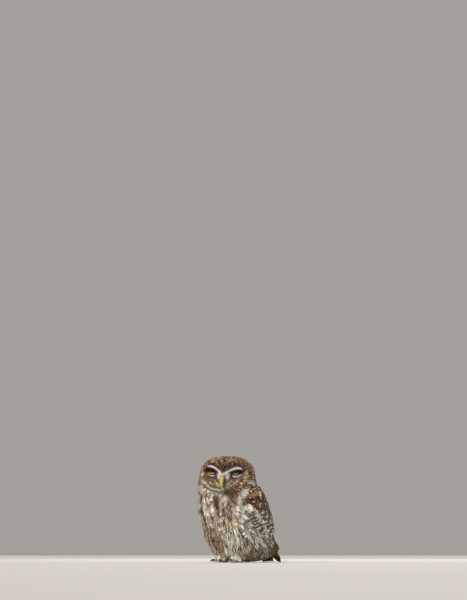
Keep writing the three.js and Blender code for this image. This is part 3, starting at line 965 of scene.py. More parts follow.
def swept(line: Array, wide: Array, high: Array, side: Array, around: int, flat: float = 2.0) -> Shape:
    """A piece swept along a line, with a rounded section at each of its points.

    Each section's point is at the line, plus side times wide times cos a, plus up times high times
    sin a, with cos and sin raised to 2 / flat and up square to both side and line.

    Args:
        line: the points of the line.
        wide: half the width at each.
        high: half the height at each.
        side: the direction of the width.
        around: points in a section.
        flat: 2 for an ellipse, more for a squarer section.

    Returns:
        The closed surface, with the attribute share, from 0 at the start to 1 at the end.
    """
    up = unit(np.cross(unit(np.gradient(line, axis=0)), side))
    angle = np.linspace(0, FULL_TURN, around, endpoint=False)
    (c, s) = (np.sign(f(angle)) * np.abs(f(angle)) ** (2 / flat) for f in (np.cos, np.sin))
    across = side * (wide[:, None] * c)[..., None]
    rings = line[:, None] + across + up[:, None] * (high[:, None] * s)[..., None]
    share = np.concatenate([[0], np.repeat(np.linspace(0, 1, len(line)), around), [1]])
    return ring_shape(rings, line[0], line[-1], share=share[:, None] * (1, 0, 0))


@dataclass(frozen=True)
class Vane:
    """The pattern of one feather: a thin closed blade with a ragged end, as a grid of rows and columns."""

    rows: int
    columns: int
    root: float = 0.3
    tip: float = 0.6
    rounding: float = 0.2
    ragged: float = 0.06
    camber: float = 0.16
    thickness: float = 0.22
    fray: float = 0.0

    def grid(self) -> tuple[Array, Array, Array]:
        """The places of its points.

        Returns:
            The share along, the place across from -1 to 1, and 1 for points of the under face.
        """
        lines = 1 - (1 - np.linspace(0, 1, self.rows)) ** 1.2
        both = np.meshgrid(lines, np.linspace(-1, 1, self.columns), indexing="ij")
        (share, across) = (np.concatenate([g.ravel(), g[1:-1, 1:-1].ravel()]) for g in both)
        return share, across, (np.arange(len(share)) >= self.rows * self.columns).astype(float)

    def faces(self) -> Array:
        """Its squares: the upper face, and an under face that shares the upper one's border.

        Returns:
            The numbers of each square's four points.
        """
        top = np.arange(self.rows * self.columns).reshape(self.rows, self.columns)
        under = top.copy()
        inner = under[1:-1, 1:-1]
        inner[:] = top.size + np.arange(inner.size).reshape(inner.shape)
        return np.concatenate([squares(top), squares(under)[:, ::-1]])

    def breadth(self, share: Array) -> Array:
        """Half-width as a share of the greatest: it swells from the root and narrows to the tip."""
        return lerp(self.root, 1, smooth(share, 0, 0.5)) * lerp(1, self.tip, smooth(share, 0.6, 1.02))

    def points(self, count: int, chance: Chance) -> tuple[Array, Array, Array]:
        """The grid for several feathers, each with its own ragged end.

        Args:
            count: how many feathers.
            chance: the seeded draw.

        Returns:
            The place along (0 to about 1), the place across (about -1 to 1) and the depth below the
            upper face as a share of the thickness, with a row for each feather.
        """
        (share, across, under) = self.grid()
        draw = chance.uniform(-1, 1, (2, count, len(share)))
        end = (share > 0.99) * 1.0
        edge = (np.abs(across) > 0.99) * (share > 0.3)
        notch = end * (np.round((across + 1) / 2 * (self.columns - 1)) % 2) * self.fray
        along = share * (1 - self.rounding * across**2) + self.ragged * end * draw[0]
        along = along - notch * (1 + 0.4 * draw[1])
        wide = across * self.breadth(share) * (1 + self.ragged * edge * draw[1])
        return along, wide, np.broadcast_to(under * (1 - across**2), wide.shape)


def pattern_of(pattern: Pattern) -> Array:
    """A pattern as its streak, spot and bars: a single number is the streak."""
    return np.array(pattern if isinstance(pattern, tuple) else (pattern, 0, 0), float)


@dataclass
class Paint:
    """The colours and pattern of many feathers or points: ground, mark and (streak, spot, bars)."""

    ground: Array
    mark: Array
    pattern: Array

    @staticmethod
    def plain(count: int, ground: Tint, mark: Tint, pattern: Pattern = 0.0) -> "Paint":
        """The same for all."""
        values = (ground.linear(), mark.linear(), pattern_of(pattern))
        return Paint(*(np.tile(value, (count, 1)) for value in values))

    def over(self, mask: Array, ground: Tint | None = None, mark: Tint | None = None,
             pattern: Pattern | None = None) -> None:
        """Lays other values over these.

        Args:
            mask: how strongly, from 0 to 1.
            ground: the ground's colour, if it changes.
            mark: the mark's colour, if it changes.
            pattern: the pattern, if it changes.
        """
        share = np.clip(mask, 0, 1)[:, None]
        if ground:
            self.ground = lerp(self.ground, ground.linear(), share)
        if mark:
            self.mark = lerp(self.mark, mark.linear(), share)
        if pattern is not None:
            self.pattern = lerp(self.pattern, pattern_of(pattern), share)

    def varied(self, chance: Chance, spread: float = 1.0) -> None:
        """Makes each feather a little lighter or darker, and its marking wider, narrower or missing.

        Args:
            chance: the seeded draw.
            spread: how much.
        """
        count = len(self.ground)
        self.ground = self.ground * np.exp(0.13 * spread * chance.standard_normal((count, 1)))
        self.mark = self.mark * np.exp(0.10 * spread * chance.standard_normal((count, 1)))
        self.pattern = self.pattern * chance.uniform(0.3, 1.3, (count, 3)) ** (1, 0.7, 0.3)


@dataclass
class Plumes:
    """Feathers of one kind, with a row for each, in millimetres."""

    roots: Array
    lie: Array
    length: Array
    width: Array
    depth: Array
    patch: Array
    ground: Array
    mark: Array
    pattern: Array

    @staticmethod
    def made(roots: Array, lie: Array, size: Size, patch: Array, paint: Paint) -> "Plumes":
        """Feathers from their roots and lie, with length, width and depth for each or once for all."""
        sizes = (np.zeros(len(roots)) + value for value in size)
        return Plumes(roots, lie, *sizes, patch, paint.ground, paint.mark, paint.pattern)

    def kept(self, keep: Array) -> "Plumes":
        """The feathers that a true or false list keeps."""
        return Plumes(*(values[keep] for values in vars(self).values()))

    @staticmethod
    def gathered(lots: list["Plumes"]) -> "Plumes":
        """Several lots as one."""
        return Plumes(*(np.concatenate(values) for values in zip(*(vars(lot).values() for lot in lots))))


PATCH = 0.003


def dressed(paint: Paint | Plumes, patch: Array, vane: Vane, points: Array, place: Array, spans: Array,
            cell: float | tuple[float, float] = PATCH) -> Shape:
    """Adds faces, colours and maps to the points of laid feathers.

    Args:
        paint: the feathers' colours and patterns.
        patch: the middle of each feather's place on the bake map.
        vane: the feathers' pattern.
        points: the laid points.
        place: each point's place across and along its feather.
        spans: the same in millimetres, with the feather's own draw.
        cell: the size of a feather's place on the bake map.

    Returns:
        The feathers as one surface.
    """
    (count, size) = place.shape[:2]
    quads = (vane.faces()[None] + (np.arange(count) * size)[:, None, None]).reshape(-1, 4)
    values = {name: np.repeat(getattr(paint, name), size, 0) for name in ("ground", "mark", "pattern")}
    vane_map = place.reshape(-1, 2) * (0.5, 1) + (0.5, 0)
    patches = np.repeat(patch, size, 0) + (vane_map - 0.5) * cell
    values["span"] = spans.reshape(-1, 3)
    return Shape(points, quads, NO_TRIANGLES, values, {"vane": vane_map, "OFBake": patches})


@dataclass
class Coat:
    """Lays feathers over a form, each following its surface from the skin to the outer outline."""

    chance: Chance
    surface: Form
    curl: float = 1.7
    proud: float = 0.3
    stray: float = 9.0
    floor: float = 0.25

    def laid(self, plumes: Plumes, vane: Vane) -> Shape:
        """Lays the feathers.

        A point's height over the form is minus the coat's depth times (1 - share) to the power curl,
        so each feather rises from the skin and lies over the ones beyond its root.

        Args:
            plumes: the feathers.
            vane: their pattern.

        Returns:
            All of them as one surface.
        """
        count = len(plumes.roots)
        (along, across, under) = vane.points(count, self.chance)
        draw = self.chance.uniform(-1, 1, (5, count, 1))
        normal = unit(slope(self.surface, plumes.roots))
        ahead = unit(plumes.lie - (plumes.lie * normal).sum(-1, keepdims=True) * normal)
        aside = unit(np.cross(ahead, normal))
        (c, s) = (f(np.radians(self.stray) * draw[0]) for f in (np.cos, np.sin))
        (ahead, aside) = ((ahead * c + aside * s)[:, None], (aside * c - ahead * s)[:, None])
        length = plumes.length[:, None] * (1 + 0.14 * draw[1])
        half = plumes.width[:, None] / 2
        side = half * (across + 0.18 * draw[2] * along**2)
        places = plumes.roots[:, None] + ahead * (along * length)[..., None] + aside * side[..., None]
        rise = -plumes.depth[:, None] * np.clip(1 - along, 0, 1) ** self.curl + self.proud * along
        height = rise + (0.22 * draw[3] + 0.10 * draw[4] * across) * np.minimum(half, 1.5)
        height = height - vane.camber * half * across**2 - vane.thickness * under
        flat = settled(self.surface, places.reshape(-1, 3), height.ravel())
        flat[:, 2] = np.maximum(flat[:, 2], self.floor)
        spans = xyz(side, along * length, self.chance.uniform(0, 1, (count, 1)))
        return dressed(plumes, plumes.patch, vane, flat, np.stack([across, along], -1), spans)


@dataclass
class Chart:
    """A stretch of the outer form as a grid: rows follow one another along the feathers' lie."""

    grid: Array
    unwrap: Callable[[Array, Array], Array]

    def at(self, row: Array, column: Array) -> Array:
        """Points between the grid's, mixed evenly from the nearest four.

        Args:
            row: the place along.
            column: the place round.

        Returns:
            The points.
        """
        g = self.grid
        (i, j) = (np.clip(row.astype(int), 0, len(g) - 2), column.astype(int) % (g.shape[1] - 1))
        (a, b) = ((row - i)[:, None], (column - np.floor(column))[:, None])
        return lerp(lerp(g[i, j], g[i, j + 1], b), lerp(g[i + 1, j], g[i + 1, j + 1], b), a)

    def strewn(self, pitch: float, spacing: float, chance: Chance) -> tuple[Array, Array, Array]:
        """Roots in rows set like tiles, with a little disorder.

        Args:
            pitch: from row to row, in millimetres, where the rows are widest apart.
            spacing: from feather to feather in a row.
            chance: the seeded draw.

        Returns:
            The roots, the way on at each, and their places on the unwrap.
        """
        around = self.grid.shape[1] - 1
        gaps = np.linalg.norm(np.diff(self.grid, axis=0), axis=-1)
        passed = np.concatenate([[0], np.cumsum(gaps.max(1))])
        rows = np.interp(np.arange(pitch / 2, passed[-1], pitch), passed, np.arange(len(passed)))
        (found_rows, found_columns) = ([], [])
        for (number, row) in enumerate(rows):
            ring = self.at(np.full(around, row), np.arange(around * 1.0))
            steps = np.linalg.norm(np.roll(ring, -1, 0) - ring, axis=-1)
            total = np.concatenate([[0], np.cumsum(steps)])
            count = max(1, round(total[-1] / spacing))
            wanted = (np.arange(count) + 0.5 * (number % 2) + chance.uniform(-0.28, 0.28, count)) / count
            found_columns.append(np.interp((wanted % 1) * total[-1], total, np.arange(len(total))))
            found_rows.append(np.full(count, row))
        (row, column) = (np.concatenate(found_rows), np.concatenate(found_columns))
        (i, j) = (np.clip(row.astype(int), 0, len(gaps) - 1), column.astype(int) % around)
        kept = chance.uniform(0, 1, len(row)) < gaps[i, j] / gaps[i].max(1) * 1.15 + 0.05
        row = np.clip(row + chance.uniform(-0.3, 0.3, len(row)) * pitch / gaps.max(1)[i], 0, len(gaps))[kept]
        column = column[kept] % around
        way = self.at(np.minimum(row + 0.6, len(gaps)), column) - self.at(np.maximum(row - 0.6, 0), column)
        return self.at(row, column), unit(way), self.unwrap(row / len(gaps), column / around)


def disc(row: Array, column: Array) -> Array:
    """An unwrap as a disc in the bake map's left half: rows outwards and columns round it."""
    turn = column * FULL_TURN
    return np.stack([0.25 + 0.23 * row * np.cos(turn), 0.5 + 0.23 * row * np.sin(turn)], -1)


def strip(row: Array, column: Array) -> Array:
    """An unwrap as a rectangle in the bake map's right half: columns across and rows up."""
    return np.stack([0.52 + 0.46 * column, 0.02 + 0.96 * row], -1)


def head_chart(form: OwlForm) -> Chart:
    """The head from the bill's root to the nape, by rays from its middle.

    Each ray goes out at (sin tilt cos turn, -cos tilt, sin tilt sin turn) in the head's frame, with
    tilt from 0 at the bill and turn round it.

    Args:
        form: the owl's form.

    Returns:
        The chart.
    """
    (tilt, turn) = np.meshgrid(np.linspace(0.1, 3.1, 118), np.linspace(0, FULL_TURN, 181), indexing="ij")
    out = xyz(np.sin(tilt) * np.cos(turn), -np.cos(tilt), np.sin(tilt) * np.sin(turn)) @ form.head_frame.T
    return Chart(met(form.lidded, form.in_head(0, 0, 3), out), disc)


SPINE = ((0, 0, 0, 112), (0.3, 0, 8, 84), (0.5, 0, 22, 66),
         (0.68, 0, 42, 54), (0.84, 0, 60, 41), (1, 0, 80, 20.5))


def body_chart(form: OwlForm) -> Chart:
    """The body from the neck to the middle of the tail, by rays from a bent spine.

    The spine is a smooth line through a few points. At each of its points the rays go out square to
    it, at cos a times the belly's side plus sin a times the bird's left.

    Args:
        form: the owl's form.

    Returns:
        The chart.
    """
    spine = reading(SPINE, np.linspace(0.05, 1, 130))
    (_, y, z) = unit(np.gradient(spine, axis=0)).T
    angle = np.linspace(0, FULL_TURN, 221)[:, None]
    out = xyz(0, z, -y)[:, None] * np.cos(angle) + np.array([1.0, 0, 0]) * np.sin(angle)
    return Chart(met(form.plump, np.broadcast_to(spine[:, None], out.shape), out), strip)


@dataclass
class Markings:
    """Where the owl's colours lie, the same for skin and feathers.

    A single patch of PATCHES has a place, a width, a strength, and its ground and mark.
    """

    form: OwlForm

    PATCHES = (
        ((24.0, -30.0, 89.0), 10.5, 1.5, Tint.BREAST_BROWN, Tint.BUFF),
        ((37.6, -15.0, 93.4), 4.2, 1.5, Tint.PALE_GREY, Tint.WHITE),
        ((20.2, -35.0, 84.1), 3.6, 1.6, Tint.WHITE, Tint.BREAST_BROWN),
        ((-6.3, -38.0, 66.0), 4.5, 1.8, Tint.WHITE, Tint.WHITE),
        ((-9.0, -37.0, 76.0), 4.0, 1.4, Tint.WHITE, Tint.GREY_BROWN),
        ((34.7, -22.4, 78.8), 3.6, 1.8, Tint.WHITE, Tint.BREAST_BROWN),
        ((2.0, -40.0, 60.0), 6.0, 1.0, Tint.BREAST_BROWN, Tint.CREAM),
        ((26.0, -32.0, 74.0), 5.0, 0.9, Tint.BREAST_BROWN, Tint.CREAM),
        ((-12.5, -38.8, 88.8), 3.0, 0.9, Tint.BREAST_BROWN, Tint.CREAM),
        ((1.5, -40.5, 81.3), 3.0, 0.8, Tint.BREAST_BROWN, Tint.CREAM),
        ((37.2, -9.5, 119.4), 2.6, 1.0, Tint.PALE_GREY, Tint.CREAM),
        ((36.8, -12.0, 113.0), 2.0, 1.2, Tint.CREAM, Tint.WHITE),
        ((38.1, -7.9, 114.1), 2.3, 1.3, Tint.CREAM, Tint.WHITE),
        ((37.6, -11.0, 108.4), 2.0, 1.1, Tint.CREAM, Tint.WHITE),
        ((39.0, -5.3, 107.0), 2.2, 1.2, Tint.PALE_GREY, Tint.WHITE),
        ((38.9, 0.5, 106.2), 2.2, 1.3, Tint.PALE_GREY, Tint.WHITE),
        ((37.8, 5.6, 105.4), 2.5, 1.4, Tint.WHITE, Tint.WHITE),
        ((31.9, 9.2, 128.0), 4.0, 0.8, Tint.BUFF, Tint.CREAM),
        ((-15.8, -38.4, 118.2), 2.6, 1.3, Tint.PALE_GREY, Tint.WHITE),
        ((-12.0, -40.4, 106.7), 2.4, 1.0, Tint.PALE_GREY, Tint.WHITE),
        ((43.9, 11.6, 92.2), 2.6, 2.0, Tint.WHITE, Tint.WHITE),
    )

    def head(self, points: Array) -> Paint:
        """Brown crown with pale drops, white brows, dark eye rings deepened with painted shade under the
        brows and in the eyes' corners, a streaked disc and a white throat line.

        Each layer's mask is made of bells and soft steps in the head's frame, and lies over the
        layers before it.

        Args:
            points: places in millimetres.

        Returns:
            The colours and patterns there.
        """
        (left, x, y, z) = self.form.seen(points)
        (eye, outward, up) = self.form.lid_place(points)
        (_, lower) = self.form.lid_edges(outward)
        front = smooth(-y, 6, 14)
        rise = z - self.form.brow_line(left)
        band = z - self.form.throat_line(left)
        paint = Paint.plain(len(points), Tint.CROWN, Tint.STREAK_BUFF, 0.3)
        lay = paint.over
        lay(smooth(cloud(points, 9, 6), -0.2, 0.6) * 0.6, Tint.CROWN_DARK)
        lay(smooth(y, 2, 14), None, Tint.WHITE, 0.3)
        false_eye = bump(np.hypot((x - 13) * 0.8, z + 6 - 0.3 * x), 5.0) + 0.7 * bump(z + 15, 3.0)
        dappled = smooth(false_eye + 0.35 * cloud(points, 3, 11), 0.55, 0.75)
        lay(smooth(y, 8, 18) * dappled, Tint.PALE_GREY, Tint.CROWN, 0.3)
        lay(front * bump(rise - 3.2, 2.2) * fade(x, 20, 27), Tint.CROWN_DARK, None, 0.1)
        lay(front * smooth(x, 15, 28) * smooth(z, 4, 12) * 0.6, Tint.CROWN_DARK, Tint.DISC)
        lay(front * bump(np.hypot(x * 1.1, (z - 17) * 0.6), 6.0), Tint.CROWN_DARK, Tint.BUFF, 0.1)
        below = front * fade(rise, -1.5, 0.5)
        lay(below, Tint.DISC, Tint.STREAK_BUFF, 0.16)
        arcs = np.sin((eye - 9.7) * 1.35 + 0.9 * cloud(points, 9, 5))
        lay(below * smooth(arcs, 0.0, 0.8) * smooth(eye, 11.5, 13.5), Tint.CROWN, Tint.BUFF)
        pale_arcs = smooth(-arcs, 0.4, 0.95) * smooth(eye, 12, 14) * fade(eye, 18, 21) * smooth(left, 14, 20)
        pale_arcs = pale_arcs * smooth(cloud(points, 6, 13), -0.3, 0.4)
        lay(below * pale_arcs * smooth(-y, 9, 12), Tint.CREAM, Tint.WHITE)
        cheek = front * smooth(-z, -2, 4) * smooth(x, 3, 8) * smooth(band, -1, 3)
        lay(cheek * 0.85, Tint.CROWN, Tint.STREAK_BUFF, 0.2)
        lay(cheek * bump(cloud(points, 6, 7) - 0.9, 0.5), Tint.CREAM, Tint.WHITE)
        lay(front * bump(np.hypot((x - 10) * 0.75, z + 7), 3.8), Tint.CROWN_DARK, Tint.RUST, 0.35)
        whisker = front * bump(np.hypot(x * 0.9, (z - 3) * 0.95) - 9.4, 1.1) * smooth(-z, -4, 0)
        lay(whisker * 1.2, Tint.CREAM, Tint.WHITE, 0.1)
        lay(front * bump(np.hypot((x - 6.6) * 0.75, z - 0.6), 2.4) * 1.4, Tint.SOOT, Tint.GREY_BROWN, 0)
        # Painted shade: near-black over the upper half round each eye, in a ring under the lower lid and in
        # the eyes' corners. This is partly the eyes' own dark rims and partly the shade under the brows.
        near = fade(eye, 11.2, 13.0)
        shade = smooth(up, -14, -2) * near + bump((up - lower + 23) / 7, 1) * near
        corner = bump((up - 4 - 0.1 * np.abs(outward)) / 9, 1) * bump(np.abs(outward) - 56, 22)
        shade = np.maximum(shade, corner * fade(eye, 12.5, 16) * 1.3)
        lay(front * smooth(-rise, -0.5, 1.5) * shade, Tint.SOOT, Tint.SOOT, 0)
        thin = np.where(left > 0, 6.0, 4.0)
        pale = fade(eye, 10.4, 11.6) * bump((up - lower + 1.4 * thin) / thin, 1) * fade(outward, 50, 66)
        wrap = bump((outward - 62) / 8, 1) * bump((up - 2) / 16, 1) * fade(eye, 12.0, 13.5) * (left < 0)
        lay(front * (pale * 1.7 + wrap * 1.3), Tint.LILAC, Tint.WHITE, 0)
        lay(front * bump(np.hypot(x - 9.6, (z - 6.5) * 0.42), 2.1) * 1.6, Tint.SOOT, Tint.SOOT, 0)
        lores = bump(np.hypot((x - 4.0) * 0.9, (z - 7.4) * 0.75), 3.3)
        end = np.where(left > 0, 21.5, 18.0)
        brow = bump(rise + 0.2, lerp(0.85, 1.15, smooth(x, 4, 12))) * fade(x - end, -1, 3) * smooth(x, 1.5, 4)
        lay(front * np.maximum(brow, lores) * 1.9, Tint.WHITE, Tint.WHITE, 0)
        gap = front * smooth(np.minimum(rise - 1.2, z - 10.4), 0, 1.4) * bump(x, 11) * fade(z, 20, 26)
        lay(gap * 0.92, Tint.CROWN_DARK, Tint.BUFF, 0.12)
        chin = front * bump(band - 2.4, 1.2) * smooth(x, 2, 5) * fade(x, 13, 18)
        lay(chin * 0.8, Tint.CROWN, Tint.RUST, 0.2)
        line = bump(band, 0.8) * fade(x, 20, 26) * lerp(1.4, 0.6, smooth(x, 5, 18))
        lay(front * line, Tint.COOL_WHITE, Tint.CREAM, 0)
        neck = smooth(-band, 0.8, 2.6) * front
        lay(neck, Tint.PALE_GREY, Tint.BREAST_BROWN, 0.4)
        shoulder = np.maximum(smooth(left, 3, 13), smooth(-left, 31, 37))
        lay(neck * shoulder, Tint.CROWN, Tint.STREAK_BUFF, 0.38)
        lay(neck * bump(band + 2.2, 1.3), Tint.CROWN_DARK, Tint.RUST, 0)
        return paint

    def body(self, points: Array) -> Paint:
        """Brown back with white spots, brown-streaked white breast, paler belly whose lowest part is lifted
        with painted light, spotted wings.

        The breast's streaks are a cosine of the bearing round the body, made uneven by clouds.

        Args:
            points: places in millimetres.

        Returns:
            The colours and patterns there.
        """
        (along, degrees) = self.form.body_place(points)
        (length, across) = self.form.wing_place(points)
        (x, y, z) = points.T
        waves = np.cos(np.arctan2(x, 10 - y) * 34 + 2.2 * cloud(points, 34, 3))
        lines = waves + 0.9 * cloud(points, 15, 4) + 0.4 * cloud(points, 5, 9)
        paint = Paint.plain(len(points), Tint.PALE_GREY, Tint.BREAST_BROWN, 0.3)
        lay = paint.over
        low = fade(z, 22, 50)
        lay(low * (y < 30), Tint.BELLY, Tint.BREAST_BROWN, 0.26)
        lay(smooth(-lines, 0.1, 0.8) * (1 - 0.6 * low), Tint.PALE_GREY, Tint.GREY_BROWN, 0.05)
        lay(smooth(-lines, 0.3, 1.1) * (1 - 0.7 * low), Tint.WHITE, Tint.GREY_BROWN, 0.03)
        lay(smooth(lines, 0.15, 0.9), None, None, 0.95)
        lay(smooth(lines, 0.4, 1.2) * (1 - 0.6 * low), Tint.BREAST_BROWN, Tint.CROWN)
        outer = smooth(-x * 0.8 - y * 0.6, 4, 18) * fade(z, 38, 58)
        lay(outer * lerp(0.6, 1.0, smooth(lines, -0.7, 0.1)), Tint.BREAST_BROWN, Tint.CREAM, 0.2)
        # Painted light: the lowest belly is white. This is partly its own pale colour and partly lightening
        # that lifts the shade under the belly's overhang.
        lay(fade(z, 9, 17) * (y < 24), Tint.WHITE, Tint.BUFF, 0.16)
        side = smooth(np.abs(x) - 14 - 15 * smooth(z, 42, 72), 0, 6) * fade(z, 68, 80)
        lay(side * 0.85, Tint.BREAST_BROWN, Tint.CREAM, 0.3)
        lay(smooth(degrees, 60, 84) * fade(z, 18, 34) * (y < 60), Tint.DISC, Tint.GREY_BROWN, 0.4)
        wing = smooth(across, -0.06, 0.06) * smooth(length, -0.1, 0.0) * (degrees > 50)
        lay(smooth(degrees, 96, 112), Tint.MANTLE, Tint.WHITE, (0, 1.5, 0))
        lay(wing, Tint.MANTLE, Tint.WHITE, (0, 0.95, 0))
        lay(wing * smooth(cloud(points, 15, 8), -0.2, 0.5) * 0.6, Tint.WING_DARK)
        lay(smooth(z, 78, 86) * (np.abs(x) > 18) * (degrees > 50) * (y < 32), None, Tint.STREAK_BUFF)
        tail = smooth(along, 84, 94)
        lay(tail * (degrees > 90), Tint.WING, Tint.BUFF, (0, 0, 1.6))
        lay(tail * (degrees < 90), Tint.WHITE, Tint.GREY_BROWN, 0.18)
        return paint

    def everywhere(self, points: Array) -> Paint:
        """The head's markings above the neck, the body's below it, and the single patches.

        Args:
            points: places in millimetres.

        Returns:
            The colours and patterns there.
        """
        (head, body) = (vars(self.head(points)), vars(self.body(points)))
        share = smooth(above_neck(points), -2, 2)[:, None]
        paint = Paint(**{name: lerp(body[name], head[name], share) for name in body})
        for (place, width, strength, ground, mark) in self.PATCHES:
            paint.over(bump(np.linalg.norm(points - place, axis=-1), width) * strength, ground, mark, 0.2)
        return paint


def above_neck(points: Array) -> Array:
    """Height over the slanting line where the hood of the head ends."""
    return points[..., 2] - 95 - 0.14 * points[..., 1]


@dataclass
class SkinPart:
    """The one skin under the whole coat."""

    form: OwlForm
    markings: Markings
    voxel: float = 1.3
    rings: int = 60
    around: int = 90

    def depth(self, points: Array) -> Array:
        """The coat's depth: thin on the face and crown, deep on breast and back.

        Args:
            points: places in millimetres.

        Returns:
            The depths.
        """
        (_, _, y, _) = self.form.seen(points)
        (eye, _, _) = self.form.lid_place(points)
        head = lerp(2.6, 1.5, smooth(-y, 6, 16)) + 1.6 * bump(eye - 10, 4)
        body = lerp(4.6, 3.0, smooth(-points[..., 2], -26, -14))
        return lerp(body, head, smooth(above_neck(points), -6, 3))

    def surface(self, points: Array) -> Array:
        """Distance to the skin: the form of head, trunk and wings drawn in by the coat's depth."""
        flesh = blended([self.form.head(points), self.form.trunk(points)], 4)
        return flesh - self.form.wing_swell(points) + self.depth(points)

    def ball(self, centre: Array, frame: Array) -> Shape:
        """The skin's surface round a centre, by rays at the angles of a globe.

        Args:
            centre: where the rays start.
            frame: the globe's frame, whose last axis goes through its poles.

        Returns:
            The closed surface.
        """
        turns = np.linspace(0, FULL_TURN, self.around, endpoint=False) + math.pi / 2
        (lift, turn) = np.meshgrid(np.linspace(-1.5, 1.5, self.rings), turns, indexing="ij")
        ends = [met(self.surface, centre, frame[:, 2] * way) for way in (-1, 1)]
        return ring_shape(met(self.surface, centre, aimed(turn, lift) @ frame.T), *ends)

    def build(self, material: Material) -> None:
        """Joins trunk, head, legs and toes, and makes one closed surface of them.

        Args:
            material: the skin's finish.
        """
        form = self.form
        globes = ((np.array([0, 14.0, 58]), np.eye(3)), (form.in_head(0, 0, 3), form.head_frame))
        shapes = [self.ball(*globe) for globe in globes]
        for limb in Legs(form).limbs():
            line = lerp(limb.start, limb.end, np.linspace(-0.1, 1, 9)[:, None])
            radius = np.maximum(lerp(*limb.radii, np.linspace(0, 1, 9)) - 1.0, 0.8)
            across = unit(np.cross(limb.end - limb.start, (0.05, 0.3, 1.0)))
            shapes.append(swept(line, radius, radius, across, 12))
        raw = linked("skin_raw", Shape.joined(shapes).mesh("skin_raw", form))
        remesh = raw.modifiers.new("one_surface", "REMESH")
        (remesh.mode, remesh.voxel_size, remesh.use_smooth_shade) = ("VOXEL", self.voxel * METRES, True)
        whole = bpy.data.meshes.new_from_object(raw.evaluated_get(bpy.context.evaluated_depsgraph_get()))
        bpy.data.objects.remove(raw)
        whole.name = "skin"
        flat = np.empty(len(whole.vertices) * 3, np.float32)
        whole.vertices.foreach_get("co", flat)
        paint = self.markings.everywhere(flat.reshape(-1, 3).astype(float) / METRES - form.shift)
        keep_values(whole, "ground", lerp(paint.ground, paint.mark, 0.3))
        whole.materials.clear()
        replaced = ("head", "neck", "trunk", "leg_left", "leg_right", "foot_left", "foot_right")
        placed(whole, material, "plumage_body", *replaced, sharp=False)


def face_patch(x: Array, z: Array) -> Array:
    """The place of a front view of the head on the bake map."""
    return np.stack([0.25 + 0.009 * x, 0.5 + 0.009 * z], -1)


